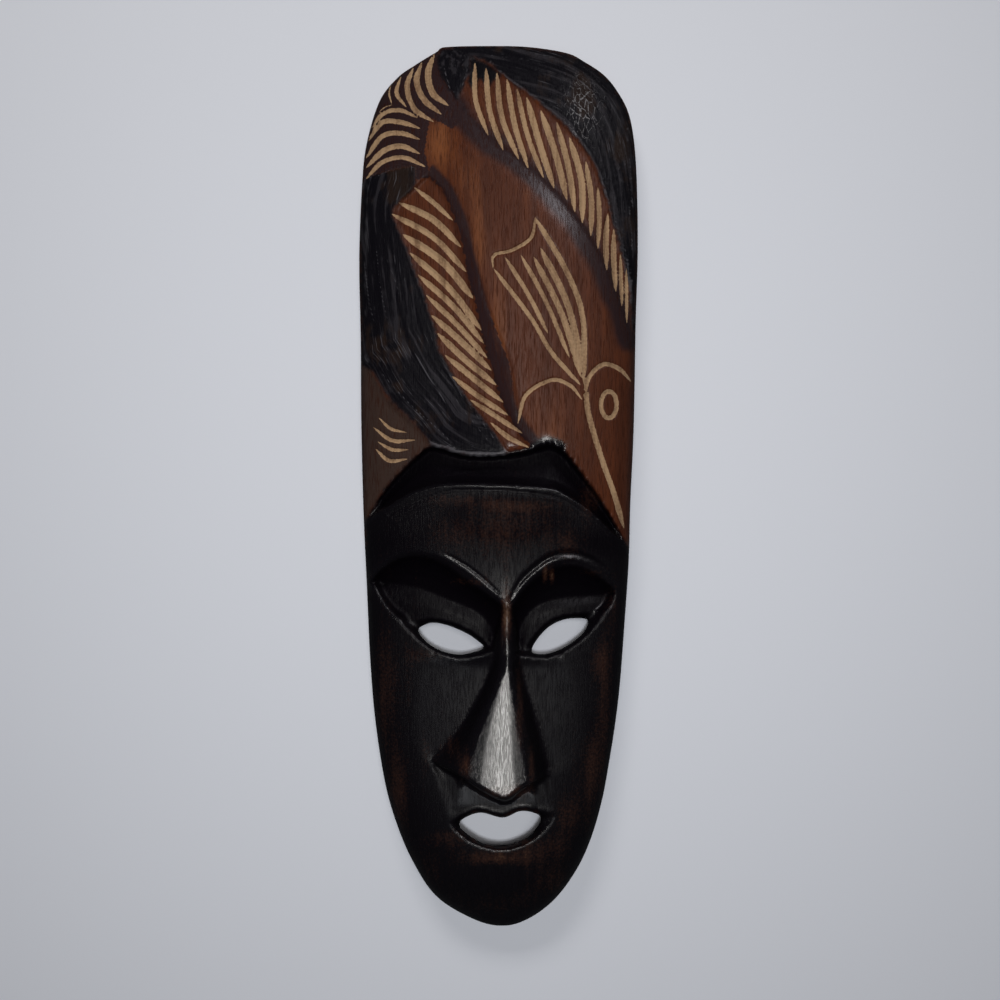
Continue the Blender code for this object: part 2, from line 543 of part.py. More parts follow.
def border_edges(faces):
    """Edges that belong to one triangle alone, each in its triangle's direction."""
    directed = {(a, b) for face in faces.tolist() for a, b in zip(face, face[1:] + face[:1])}
    return [(a, b) for a, b in directed if (b, a) not in directed]


def border_loops(faces):
    """The border edges joined into closed loops of point numbers, longest first."""
    following = dict(border_edges(faces))
    loops = []
    while following:
        start = next(iter(following))
        loop, point = [], start
        while point in following:
            loop.append(point)
            point = following.pop(point)
        loops.append(loop)
    return sorted(loops, key=len, reverse=True)


def hollow_height(points, face_points, face_heights, rim_loop):
    """Height of the hollow's ceiling: a wall's thickness behind the face, sloping down to the rim."""
    lowest = np.empty(len(points))
    for index, point in enumerate(points):
        away = np.hypot(*(face_points - point).T)
        close = away < HOLLOW_REACH
        lowest[index] = face_heights[close].min() if close.any() else face_heights[away.argmin()]
    ceiling = np.empty(len(points))
    for index, point in enumerate(points):
        ceiling[index] = lowest[np.hypot(*(points - point).T) < HOLLOW_REACH].mean()
    reach = np.maximum(ceiling - WALL, 0.0)
    held = inside(points, rim_loop)
    climb = 1 - np.exp(-HOLLOW_SLOPE * distance_to(points, rim_loop) / np.maximum(reach, 1e-6))
    return np.where(held, reach * climb, 0.0)


def shrunk(loop, distance):
    """A closed loop moved inwards."""
    before, after = np.roll(loop, 1, axis=0), np.roll(loop, -1, axis=0)
    along = after - before
    along /= np.hypot(along[:, 0], along[:, 1])[:, None]
    across = np.column_stack((-along[:, 1], along[:, 0]))
    moved = loop + across * distance
    if inside(moved[:1], loop)[0]:
        return moved
    return loop - across * distance


def closed_ring(loop, distance):
    """The loop moved inwards, closed, with evenly spaced points."""
    ring = shrunk(loop, distance)
    return spaced(np.vstack((ring, ring[:1])), HOLLOW_STEP)


def build_mask():
    """The whole mask as one closed body."""
    lines = list(guide_lines())
    outline = spaced(OUTLINE_CURVE, LINE_STEP)
    holes = [spaced(smooth_curve(hole, closed=True), HOLE_STEP)
             for hole in (LEFT_HOLE, RIGHT_HOLE, MOUTH_HOLE)]
    extra = fill_points(lines, outline, FILL_STEP)
    sheet, faces = triangulate(lines, extra, outline, holes, NEAREST)
    large, fine = face_height(sheet)
    front = place(sheet, large + fine)
    block = place(sheet, np.minimum(large, crown_height(sheet)))

    builder = bmesh.new()
    front_verts = [builder.verts.new(point) for point in front]
    for face in faces.tolist():
        builder.faces.new([front_verts[index] for index in face])

    loops = border_loops(faces)
    edge = front[loops[0]]
    base = shrunk(edge[:, :2], EDGE_ROUNDING)
    rings = [(edge[:, :2], edge[:, 2]), (edge[:, :2], np.full(len(edge), EDGE_HEIGHT / 4)),
             (base, np.zeros(len(edge)))]
    add_wall(builder, rings)

    rim_loop = closed_ring(base, RIM_WIDTH)
    hole_rings = [front[loop] for loop in loops[1:]]
    back_lines = [np.vstack((base, base[:1])), rim_loop]
    flared_rings = [2 * ring[:, :2] - shrunk(ring[:, :2], HOLE_FLARE) for ring in hole_rings]
    back_lines += [np.vstack((ring, ring[:1])) for ring in flared_rings]
    slope_rings = np.vstack([closed_ring(base, RIM_WIDTH + further) for further in HOLLOW_RINGS])
    slope_rings = slope_rings[clearance(slope_rings, back_lines[2:]) > HOLLOW_STEP / 3]
    extra = fill_points(back_lines + [slope_rings], rim_loop, HOLLOW_STEP)
    extra = np.vstack((slope_rings, extra))
    back, back_faces = triangulate(back_lines, extra, base, flared_rings, 1e-6)
    used = np.unique(faces)
    back_height = hollow_height(back, block[used, :2], block[used, 2], rim_loop)
    back_verts = [builder.verts.new((x, y, z)) for (x, y), z in zip(back, back_height)]
    for face in back_faces.tolist():
        builder.faces.new([back_verts[index] for index in face])
    for ring, flared in zip(hole_rings, flared_rings):
        nearest = [np.hypot(*(back - point).T).argmin() for point in flared]
        add_wall(builder, [(ring[:, :2], ring[:, 2]), (flared, back_height[nearest])])

    bmesh.ops.remove_doubles(builder, verts=builder.verts, dist=2e-6)
    bmesh.ops.delete(builder, geom=[vert for vert in builder.verts if not vert.link_faces], context="VERTS")
    bmesh.ops.recalc_face_normals(builder, faces=builder.faces)
    return builder


def add_wall(builder, rings):
    """Quads between rings of points, each a loop of x and y with its heights."""
    rows = [[builder.verts.new((x, y, z)) for (x, y), z in zip(loop, heights)] for loop, heights in rings]
    for upper, lower in zip(rows, rows[1:]):
        for index in range(len(upper)):
            after = (index + 1) % len(upper)
            builder.faces.new((upper[index], upper[after], lower[after], lower[index]))


def stained_wood():
    """Dark red-brown stained wood with a satin polish."""
    material = bpy.data.materials.new("stained_wood")
    material.use_nodes = True
    shader = material.node_tree.nodes["Principled BSDF"]
    shader.inputs["Base Color"].default_value = (0.055, 0.024, 0.017, 1.0)
    shader.inputs["Roughness"].default_value = 0.38
    shader.inputs["Metallic"].default_value = 0.0
    return material


def main():
    for old in list(bpy.data.objects):
        bpy.data.objects.remove(old)
    builder = build_mask()
    mesh = bpy.data.meshes.new("mask")
    builder.to_mesh(mesh)
    builder.free()
    mesh.materials.append(stained_wood())
    mesh.shade_smooth()
    mesh.set_sharp_from_angle(angle=np.radians(32))
    mask = bpy.data.objects.new("mask", mesh)
    bpy.context.collection.objects.link(mask)
    return mask


main()
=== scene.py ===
# %% [markdown]
# # A tall wooden wall mask, carved and stained
#
# The real mask is one plank, about 440 mm long. A bird fills its upper half, and a long narrow face
# its lower half. The cuts go through a dark stain, so the bare wood shows in them. This lesson
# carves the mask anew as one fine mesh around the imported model, and stains it with one material.
#
# The mask lies on its back, with its face up: x runs to the viewer's right, y towards the top of
# the mask and z out of the face. All sizes are metres unless a comment says otherwise.

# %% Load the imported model
import json

import bmesh
import bpy
import numpy as np
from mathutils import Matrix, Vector
from mathutils.bvhtree import BVHTree
from mathutils.geometry import delaunay_2d_cdt
from mathutils.kdtree import KDTree

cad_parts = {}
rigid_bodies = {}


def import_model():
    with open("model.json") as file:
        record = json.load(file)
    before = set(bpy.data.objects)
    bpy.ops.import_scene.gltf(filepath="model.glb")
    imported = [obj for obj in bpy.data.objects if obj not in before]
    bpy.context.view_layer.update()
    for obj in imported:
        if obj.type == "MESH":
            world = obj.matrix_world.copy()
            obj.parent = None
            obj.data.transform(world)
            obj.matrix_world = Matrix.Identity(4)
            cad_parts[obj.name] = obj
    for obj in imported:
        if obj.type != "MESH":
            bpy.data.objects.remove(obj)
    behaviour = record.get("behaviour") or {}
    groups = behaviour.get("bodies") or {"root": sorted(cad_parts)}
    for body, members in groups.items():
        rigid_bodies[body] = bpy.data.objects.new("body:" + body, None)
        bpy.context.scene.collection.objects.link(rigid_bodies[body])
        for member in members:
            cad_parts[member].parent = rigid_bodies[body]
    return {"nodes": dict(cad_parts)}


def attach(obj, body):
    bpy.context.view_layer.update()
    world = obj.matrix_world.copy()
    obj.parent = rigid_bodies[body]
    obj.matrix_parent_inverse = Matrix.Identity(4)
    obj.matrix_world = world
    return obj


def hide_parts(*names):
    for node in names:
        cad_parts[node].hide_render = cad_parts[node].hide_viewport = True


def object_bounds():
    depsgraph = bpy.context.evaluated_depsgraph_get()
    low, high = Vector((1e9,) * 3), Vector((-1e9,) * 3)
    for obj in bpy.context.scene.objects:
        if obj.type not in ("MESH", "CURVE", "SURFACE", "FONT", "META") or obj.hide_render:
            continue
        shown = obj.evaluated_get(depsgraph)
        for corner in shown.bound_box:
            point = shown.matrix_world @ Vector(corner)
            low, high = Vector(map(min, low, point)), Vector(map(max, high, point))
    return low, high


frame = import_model()
cad_low, cad_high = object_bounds()
scene = bpy.context.scene
print("packed model:", [round(1000 * side, 1) for side in cad_high - cad_low], "mm")

# %% [markdown]
# ## The camera, the floor and the light
#
# A carving is read by its highlights and shadows, so the view comes first. The camera looks
# straight down from just over one length of the mask. It could stand further off with a longer
# lens, but then the nose would hide less of the cheeks than it does on the real one.

# %% Hang the camera over the mask
LENGTH = 0.440
SIGHT = 1.166 * LENGTH
LENS = 36.07
MIDDLE_ASIDE = 0.0015
MIDDLE_UP = -0.014

camera = bpy.data.objects.new("camera", bpy.data.cameras.new("camera"))
scene.collection.objects.link(camera)
camera.location = (0.0, 0.0, SIGHT)
camera.data.sensor_width = 36.0
camera.data.lens = LENS
camera.data.shift_x = MIDDLE_ASIDE
camera.data.shift_y = MIDDLE_UP
camera.data.clip_start = 0.01
scene.camera = camera
print("camera at", round(SIGHT, 3), "m")

# %% [markdown]
# The key light hangs beyond the top of the mask, like a ceiling light in front of a wall, and leaves
# the eye sockets dark. It is hidden from reflections, because so wide a light would veil the black
# stain. Three more lights are there for the polish. The front of the nose mirrors the first, a narrow
# one. Raised edges mirror the second, a wide panel that adds nothing but its reflection, and the flat
# cheeks mirror the third, which is very dim. The last light shines through the eyes and the mouth
# onto the floor.


# %% Light the scene
DAYLIGHT = (0.80, 0.84, 0.92, 1.0)
DAYLIGHT_STRENGTH = 0.035


def area_light(name, place, aim, size, power, colour, mirrored=True):
    lamp = bpy.data.lights.new(name, "AREA")
    lamp.shape = "RECTANGLE"
    lamp.size, lamp.size_y = size
    lamp.energy = power
    lamp.color = colour
    light = bpy.data.objects.new(name, lamp)
    light.location = place
    light.rotation_euler = (Vector(aim) - Vector(place)).to_track_quat("-Z", "Y").to_euler()
    light.visible_glossy = mirrored
    scene.collection.objects.link(light)
    return light


area_light("key", (-0.25, 1.10, 0.82), (0.0, 0.0, 0.03), (0.60, 0.25), 6.7, (1.0, 0.97, 0.93),
           mirrored=False)
area_light("nose_light", (0.04, 0.10, 0.95), (0.04, -0.1, 0.05), (0.30, 0.09), 1.9, (1.0, 0.98, 0.95))
edge_light = area_light("edge_light", (0.62, 0.86, 0.93), (0.0, 0.0, 0.03), (0.60, 0.42), 4.2,
                        (0.98, 0.95, 1.0))
edge_light.visible_diffuse = False
area_light("cheek_light", (0.0, -0.37, 0.95), (0.0, -0.1, 0.03), (0.50, 0.16), 0.30, (0.92, 0.95, 1.0))
area_light("through_the_eyes", (0.0, -0.01, 0.70), (0.0, 0.0, 0.0), (0.04, 0.04), 1.9,
           (0.96, 0.98, 1.0), mirrored=False)

room = bpy.data.worlds.new("room")
scene.world = room
room.use_nodes = True
room.node_tree.nodes["Background"].inputs["Color"].default_value = DAYLIGHT
room.node_tree.nodes["Background"].inputs["Strength"].default_value = DAYLIGHT_STRENGTH
scene.view_settings.view_transform = "Standard"

# %% [markdown]
# The floor is a plain pale sheet that the mask lies on. It is stage, not part of the mask. The
# polish doesn't mirror it, as if black cards stood around the mask, so its edges stay dark.

# %% Lay the floor
FLOOR_REACH = 3.0
FLOOR_COLOUR = (0.72, 0.74, 0.80, 1.0)
FLOOR_ROUGH = 0.65

floor_mesh = bpy.data.meshes.new("floor")
corners = [(x * FLOOR_REACH, y * FLOOR_REACH, 0.0) for x, y in ((-1, -1), (1, -1), (1, 1), (-1, 1))]
floor_mesh.from_pydata(corners, [], [(0, 1, 2, 3)])
floor = bpy.data.objects.new("floor", floor_mesh)
scene.collection.objects.link(floor)
floor_paint = bpy.data.materials.new("floor_paint")
floor_paint.use_nodes = True
floor_shader = floor_paint.node_tree.nodes["Principled BSDF"]
floor_shader.inputs["Base Color"].default_value = FLOOR_COLOUR
floor_shader.inputs["Roughness"].default_value = FLOOR_ROUGH
floor_mesh.materials.append(floor_paint)
floor.visible_glossy = False

# %% [markdown]
# ## The drawing
#
# A carver draws on the plank before cutting it. Here too: every edge and groove is a curve on a flat
# sheet of 1000 units, x to the right and y down, as the mask looks from the camera. Sculpting by
# hand could make the same forms, but curves can be moved one by one until they sit right.

# %% The sheet and the block
WIDTH = 0.1395
DEPTH = 0.054
CROWN = 0.0365
EDGE_HEIGHT = 0.012
SHEET_MIDDLE = np.array((498.5, 486.0))
SHEET_WIDTH = 279.4
SHEET_LENGTH = 882.2

# Height of the plain block's middle line: sheet y, share of the way from the edge to the crown
CROWN_LINE = ((44, 0.08), (56, 0.30), (76, 0.52), (106, 0.72), (146, 0.86), (190, 0.94), (260, 0.99),
              (430, 1.0), (500, 0.99), (540, 0.98), (600, 0.90), (660, 0.86), (730, 0.87), (800, 0.88),
              (850, 0.83), (885, 0.66), (905, 0.45), (920, 0.20), (928, 0.05))
ROUNDNESS = 2.3

OUTLINE = ((445, 46), (490, 44.8), (530, 46), (567, 52), (585, 61), (603, 73), (616, 88), (628, 110),
           (634, 138), (637, 180), (638, 250), (636, 320), (634.8, 390), (633.5, 440), (630.5, 505),
           (629, 560), (625, 620), (620.5, 680), (616, 720), (609.8, 760), (602.4, 800),
           (591.5, 838), (577, 870), (555, 900), (529, 919.5), (503, 927), (473, 920), (436, 897),
           (411.5, 860), (395, 820), (384.2, 780), (375, 720), (370, 660), (366.8, 590), (363.2, 510),
           (361, 420), (360.5, 340), (359, 260), (361.5, 190), (366, 145), (379, 101), (397, 77),
           (415, 64), (437, 50.5))
print("one unit of the sheet is", round(1000 * LENGTH / SHEET_LENGTH, 3), "mm")

# %% [markdown]
# The bird's body lies between two wings whose feathers are single cuts. A cut is stored as its two
# ends, how far its middle bows aside, and its width.

# %% The bird and its surroundings
CAP_EDGE = ((470, 55), (488, 62), (510, 79), (550, 110.5), (580, 141), (596, 168), (610, 210),
            (624, 265), (630, 299), (632, 330))
BODY_RIGHT = ((459, 97), (470, 117), (488, 137), (520, 160), (548, 185), (580.5, 223), (605, 265),
              (620, 304), (632, 336))
BODY_LEFT = ((428, 174), (444, 191), (459, 230), (470, 277), (487, 350), (503, 400), (515, 425),
             (531, 446))
SIDE_EDGE = ((393, 214), (405, 243), (417, 275), (434.5, 325), (441.4, 354), (467, 396), (493, 429),
             (507, 451))
WING_TOP = ((428, 174), (414, 187), (399, 201), (393, 214))
CORNER_EDGE = ((362, 350), (372, 372), (391, 401.6), (416, 425), (434, 446))
BODY_REST = ((660, 360), (660, 600), (480, 500))
BODY_TOP = ((459, 97), (445, 120), (428, 174))
PANEL_FOOT = ((362, 528), (370, 513), (389, 484), (418.6, 454), (434, 446), (468, 455), (507, 454),
              (538, 447), (549, 443.7), (565, 452), (588, 482), (611, 516), (631, 553))
ARCH = ((362, 523), (385, 508), (417, 491), (450, 484.5), (500, 485), (545, 488.5), (560, 492),
        (590, 510.5), (613, 532), (631, 548))
TUFT_LEFT = ((440, 47), (437, 62), (444, 82), (458, 100), (468, 112))
TUFT_RIGHT = ((478, 46), (471, 58), (470, 72), (462, 88), (458, 99))

RIGHT_WING_STROKES = (
    ((475, 62), (488, 134), -6, 5.0), ((486, 67), (503, 149), -5, 5.5),
    ((497, 72), (518.5, 158), -6, 5.5), ((507, 78), (528, 167), -3, 5.5),
    ((517, 88), (543.5, 177), -3, 5.0), ((527, 97), (554, 187), -1, 6.5),
    ((541, 110), (567, 199), 2, 6.5), ((557, 122), (575, 211), 2.5, 6.0),
    ((569.5, 137), (582.5, 222), 5.5, 6.5), ((586, 161), (591, 235), 3, 5.5),
    ((598, 187), (598, 248), 1.5, 5.0), ((608, 213), (607, 269.5), -1.5, 5.5),
    ((614, 229), (616, 291), -1, 5.5), ((620.5, 254), (622, 306), 0, 4.0),
    ((626.5, 268), (627, 322), 0, 3.5))
LEFT_WING_STROKES = (
    ((414.5, 187), (452.5, 219.5), 1, 5.0), ((399, 202), (460.5, 246), 6, 6.5),
    ((392, 213.5), (466, 271), 7, 6.0), ((403, 234), (473, 298), 6.5, 7.5),
    ((410, 252.5), (481, 329.5), 5, 6.5), ((418, 274.5), (483.5, 342.5), 3.5, 6.0),
    ((426.5, 295), (487, 357.5), 1.5, 5.5), ((431.5, 315), (491, 370), 1, 6.5),
    ((437.5, 333), (496, 384.5), -1.5, 6.5), ((445, 355), (503, 402), 0, 6.0),
    ((452, 376), (508, 415), -1.5, 5.5), ((470, 399.5), (522, 433), 0, 5.0),
    ((490.5, 422.5), (529, 447.5), -2.5, 5.0))
CLAW_STROKES = (
    ((379, 418), (406.6, 432.4), -4, 3.5), ((373.4, 427.4), (414.6, 440), -7, 4.0),
    ((378, 441.8), (408, 449.6), -4, 4.0), ((375.3, 448.8), (407, 459), -7, 4.0))
TAIL_STROKES = (
    (((434, 53), (428, 72), (432.5, 92), (448, 104.5)), 6.5),
    (((421.5, 61.5), (416.5, 80), (424, 98.6), (441, 113)), 6.0),
    (((413, 67), (407, 86), (414, 107.6), (433, 120.7)), 5.5),
    (((400.7, 76), (396.4, 92), (406, 106)), 4.5),
    (((371, 127), (384, 112), (401, 109.5), (417, 116.7)), 4.5),
    (((368, 140), (382, 121.5), (401, 121.5), (420, 127.5)), 5.0),
    (((366, 157), (382, 135.4), (401, 132.4), (419.6, 138.4)), 5.0),
    (((366, 167), (383, 150.3), (401, 145.3), (419.6, 152.8)), 5.5),
    (((366, 178), (382, 161.5), (403, 156.7), (425, 165.7)), 4.5),
    (((391, 83), (389, 92), (391.7, 103.6)), 2.5),
    (((379, 111), (385, 106), (392, 104)), 2.0))
FIN_STROKES = (
    (((535.5, 216), (531, 237), (512, 249.6), (494, 254.6), (493, 268)), 3.5),
    (((494, 268.5), (530, 316), (551.7, 352), (580.5, 384.7)), 4.5),
    (((505, 256.6), (528.3, 294), (548, 333)), 4.5),
    (((521, 254.6), (546, 301), (569.5, 357)), 4.5),
    (((534, 256.6), (561.6, 313), (581, 376)), 6.0),
    (((540.7, 247.6), (568, 305), (583.5, 372)), 6.5),
    (((536, 218), (567.5, 272.5), (583, 318), (584, 383)), 5.5))
HEAD_STROKES = (
    (((518, 423), (526, 395), (551, 380), (570, 385), (582, 399)), 4.0),
    (((586, 392), (590, 376), (604, 364), (620, 369), (631, 381)), 4.5),
    (((586, 378), (588, 410), (601, 456), (614, 493), (624, 528)), 5.5))
EYE_RING_MIDDLE = (609, 404.5)
EYE_RING_REACH = (7.7, 13.4)
EYE_RING_STROKE = 4.5
print("wing strokes:", len(RIGHT_WING_STROKES), "right and", len(LEFT_WING_STROKES), "left")

# %% [markdown]
# Each curve of the face is drawn once and shared by the surfaces on both of its sides, so that no
# gap or overlap can open between them.

# %% The face
LEFT_BROW = ((370, 577), (388, 560), (404, 553), (420, 551.5), (440, 555), (467, 571.5), (505, 603))
LEFT_BROW_FOOT = ((371, 581), (388, 565), (404, 557.5), (424, 557), (445, 565), (470, 583), (504, 607))
LEFT_LID = ((371, 583), (400, 585), (425, 590.5), (450, 601), (478, 613), (490, 628), (494, 650))
LEFT_LID_SIDE = ((371, 584), (379, 600), (390, 614), (400, 622))
LEFT_EYE_TOP = ((400, 622), (415, 621.5), (433, 621), (450, 624.5), (468, 632), (483, 642), (493, 650))
LEFT_EYE_FOOT = ((400, 622), (412, 634), (425, 645), (440, 653), (460, 658), (480, 655.5), (493, 650))
LEFT_HOLE = ((418, 631), (424, 625.5), (434, 623), (450, 626.5), (467, 634), (478, 641.5), (484, 648),
             (474, 652.5), (459, 655), (442, 651.5), (427, 643))
RIGHT_GROOVE = ((508, 602), (518, 580), (530, 568), (543, 557.5), (558, 551), (575, 550.5), (592, 557),
                (607, 568), (621, 587))
RIGHT_BROW = ((509, 604), (524, 583), (542, 567), (555, 560), (568, 558), (583, 560), (603, 571),
              (619, 589))
RIGHT_BROW_FOOT = ((512, 607), (526, 588), (545, 572), (562, 566), (578, 566.5), (596, 575), (616, 592))
RIGHT_LID = ((519, 654), (520, 630), (531, 611), (550, 601.5), (575, 597.5), (603, 595), (617, 593.5))
RIGHT_LID_SIDE = ((604, 616), (611, 609), (615, 602), (617, 594))
RIGHT_EYE_TOP = ((520, 655), (530, 643), (545, 627), (560, 618.5), (575, 616), (595, 612.5), (604, 616))
RIGHT_EYE_FOOT = ((520, 655), (532, 657.5), (548, 657.5), (563, 652), (579, 642), (596, 626.5),
                  (604, 616))
RIGHT_HOLE = ((532, 652.5), (536, 641.5), (548, 628), (562, 620.5), (576, 618.5), (588, 620.5),
              (585, 631), (574, 641.5), (560, 650), (545, 654.5))
NOSE_LEFT_FOOT = ((506, 603), (500, 625), (493, 655), (487, 680), (474, 706), (452, 738), (430, 760.5))
NOSE_LEFT_EDGE = ((507.5, 603), (505.5, 630), (503, 662), (494, 685), (484, 712), (472, 745),
                  (462, 778), (456, 806))
NOSE_RIGHT_EDGE = ((508.5, 603), (510, 630), (513, 665), (518, 700), (522.5, 730), (529, 765),
                   (533, 784), (536, 806))
NOSE_RIGHT_FOOT = ((510, 603), (516, 625), (519, 655), (524.5, 683), (533.5, 710), (544.5, 750),
                   (549, 775))
NOSE_BASE = ((430, 760.5), (462, 778), (480, 790), (505, 801.5), (520, 791.5), (534, 783), (549, 775))
NOSE_TIP = np.array(((505, 801.5),))
MOUTH_TOP = ((449, 824), (466, 815), (480, 811.3), (503, 816), (520, 809.7), (537, 811.5), (557, 815.5))
MOUTH_FOOT = ((449, 824), (459, 834), (472, 843.5), (500, 850.5), (525, 845), (545, 831), (557, 815.5))
MOUTH_HOLE = ((459, 825.5), (465, 818.5), (481, 813.5), (503, 818.5), (520, 812), (535, 814),
              (541, 820), (532, 834.5), (517, 844), (500, 847.5), (482, 844), (466, 834))
HOLES = (LEFT_HOLE, RIGHT_HOLE, MOUTH_HOLE)
LEFT_CHEEK = ((432, 655), (423, 675), (417, 700), (416, 725), (421, 748), (430, 760.5))
RIGHT_CHEEK = ((560, 655), (571, 680), (579, 710), (581, 738), (571, 762), (549, 775))

# How far the nose stands out of the block at each sheet y, as a share of its tip's
NOSE_LINE = ((603, 0.0), (640, 0.21), (700, 0.48), (750, 0.72), (801.5, 1.0))
print("openings:", len(HOLES))

# %% [markdown]
# ## Working with curves
#
# The drawing needs a few tools: a smooth curve through its points, even spacing, a parallel curve,
# and the distance from any point to a curve. Blender's curve objects have the first two, but numpy
# measures many thousands of points at once.


# %% Curves and distances
def smooth_curve(points, closed=False, per_span=10):
    """Fine points of a smooth curve that passes through each given point."""
    given = np.array(points, float)
    if closed:
        guide = np.vstack((given[-1], given, given[0], given[1]))
    else:
        guide = np.vstack((2 * given[0] - given[1], given, 2 * given[-1] - given[-2]))
    steps = np.linspace(0.0, 1.0, per_span, endpoint=False)[:, None]
    parts = []
    for before, start, end, after in zip(guide, guide[1:], guide[2:], guide[3:]):
        parts.append(0.5 * (2 * start + (end - before) * steps
                            + (2 * before - 5 * start + 4 * end - after) * steps ** 2
                            + (3 * start - before - 3 * end + after) * steps ** 3))
    fine = np.vstack(parts)
    if closed:
        return np.vstack((fine, fine[0]))
    return np.vstack((fine, given[-1]))


def spaced(line, step, fewest=3):
    """The same line with points about one step apart."""
    run = np.concatenate(([0.0], np.cumsum(np.hypot(*np.diff(line, axis=0).T))))
    count = max(fewest, int(round(run[-1] / step)))
    places = np.linspace(0.0, run[-1], count + 1)
    return np.column_stack([np.interp(places, run, axis) for axis in line.T])


def beside(line, offset):
    """A line that runs beside another, by one distance or by one for each point."""
    along = np.gradient(line, axis=0)
    along /= np.maximum(np.hypot(along[:, 0], along[:, 1]), 1e-9)[:, None]
    across = np.column_stack((-along[:, 1], along[:, 0]))
    return line + across * np.broadcast_to(offset, (len(line),))[:, None]


def bowed(start, end, bow):
    """A shallow arc from start to end whose middle stands off the straight line by the bow."""
    start, end = np.array(start, float), np.array(end, float)
    run = end - start
    aside = np.array((run[1], -run[0])) / np.hypot(*run)
    return smooth_curve((start, (start + end) / 2 + aside * bow, end))


def ellipse(middle, reach, count=48):
    turn = np.linspace(0.0, 2 * np.pi, count + 1)
    return np.column_stack((middle[0] + reach[0] * np.cos(turn), middle[1] + reach[1] * np.sin(turn)))


def distance_to(points, line):
    """Distance from each point to the nearest place on a line."""
    nearest = np.full(len(points), np.inf)
    for start, end in zip(line[:-1], line[1:]):
        run = end - start
        share = np.clip((points - start) @ run / max(run @ run, 1e-12), 0.0, 1.0)
        away = points - start - share[:, None] * run
        nearest = np.minimum(nearest, np.hypot(away[:, 0], away[:, 1]))
    return nearest


def inside(points, loop):
    """True for each point inside a closed loop."""
    result = np.zeros(len(points), bool)
    x, y = points[:, 0], points[:, 1]
    for (x1, y1), (x2, y2) in zip(loop, np.roll(loop, -1, axis=0)):
        crosses = (y1 > y) != (y2 > y)
        if y1 != y2:
            result ^= crosses & (x < (x2 - x1) * (y - y1) / (y2 - y1) + x1)
    return result


def ease(share):
    share = np.clip(share, 0.0, 1.0)
    return share * share * (3 - 2 * share)


OUTLINE_CURVE = smooth_curve(OUTLINE, closed=True)
print("outline:", len(OUTLINE_CURVE), "points")

# %% [markdown]
# A field is the strip of surface between two curves. Its height follows a profile across the strip,
# as a gouge pushed along both curves would leave it. A brow, a lid or a side of the nose is one
# field each.


# %% Fields between two curves
class Field:
    """The strip of surface between two lines, with a height that depends on the place across it."""

    def __init__(self, first, second):
        self.first = first
        self.second = second
        self.loop = np.vstack((first, second[::-1]))

    def across(self, points):
        """Which points lie in the strip, and their place from 0 on the first line to 1 on the other."""
        held = inside(points, self.loop)
        share = np.zeros(len(points))
        if held.any():
            near = distance_to(points[held], self.first)
            far = distance_to(points[held], self.second)
            share[held] = near / np.maximum(near + far, 1e-9)
        return held, share

    def heights(self, points, profile):
        held, share = self.across(points)
        places, heights = zip(*profile)
        return np.where(held, np.interp(share, places, heights), 0.0)


def strip(first, second):
    """The strip between two drawn curves."""
    return Field(smooth_curve(first), smooth_curve(second))


def within(points, first, second):
    """1 inside the strip between two drawn curves, 0 outside."""
    return strip(first, second).across(points)[0].astype(float)


print("the nose's tip is at", strip(NOSE_LEFT_EDGE, NOSE_RIGHT_EDGE).across(NOSE_TIP)[1].round(2),
      "across the nose's front")

# %% [markdown]
# ## The forms of the carving
#
# The plain block comes first: a plank with a rounded front. Everything else adds to its height or
# takes from it.

# %% The rounded block
EDGE_FADE = 8.0
LID_FADE = 10.0


def outline_sides(outline):
    """The outline's left and right side as x for each y, to look up the block's half width."""
    ring = np.roll(outline[:-1], -outline[:, 1].argmin(), axis=0)
    bottom = ring[:, 1].argmax()
    right, left = ring[:bottom + 1], np.vstack((ring[bottom:], ring[:1]))[::-1]
    return (left[:, 1], left[:, 0]), (right[:, 1], right[:, 0])


OUTLINE_LEFT, OUTLINE_RIGHT = outline_sides(OUTLINE_CURVE)


def crown_height(points):
    """Height of the plain rounded block, before any carving."""
    left = np.interp(points[:, 1], *OUTLINE_LEFT)
    right = np.interp(points[:, 1], *OUTLINE_RIGHT)
    half = np.maximum((right - left) / 2, 1e-6)
    off_middle = np.clip(np.abs(points[:, 0] - (left + right) / 2) / half, 0.0, 1.0)
    middle = np.interp(points[:, 1], *smooth_curve(CROWN_LINE).T)
    roundness = (1 - off_middle ** ROUNDNESS) ** (1 / ROUNDNESS)
    return EDGE_HEIGHT + (CROWN - EDGE_HEIGHT) * middle * roundness


print("block under the nose's tip:", (1000 * crown_height(NOSE_TIP)).round(1), "mm high")

# %% [markdown]
# On the panel the bird's body stands a little proud and the wings are sunk. The black stretches on
# both sides are hair, cut with a gouge in long hollows that flow along the panel's edge.

# %% The panel
WING_DEPTH = 0.0018
BODY_RISE = 0.0018
SHOULDER = 22.0
LIP = 8.0
LIP_RISE = 0.00035
BODY_TOP_FADE = 34.0
CORNER_OUTER = ((362, 528), (340, 528), (340, 350))
CORNER_DEPTH = 0.6 * WING_DEPTH
CORNER_FADE = 4
FLOW_ACROSS = (0.65, 0.35)
FLOW_SLANT = 0.4

# Where the lip begins and ends: a sheet x and the reach of the fade, below zero for the end
LIP_ENDS = ((420, 20), (590, -30))

HAIR_RIGHT = (smooth_curve(CAP_EDGE),
              smooth_curve(((446, 44), (490, 42), (567, 48), (606, 70), (632, 104), (642, 180),
                            (640, 250), (637, 332))))
HAIR_LEFT = (smooth_curve(((416, 163), (414, 187), (399, 201), (393, 214)) + SIDE_EDGE[1:]),
             smooth_curve(((355, 178), (354, 260), (356, 352), (372, 372), (391, 401.6), (416, 425),
                           (434, 446), (470, 460), (507, 455))))


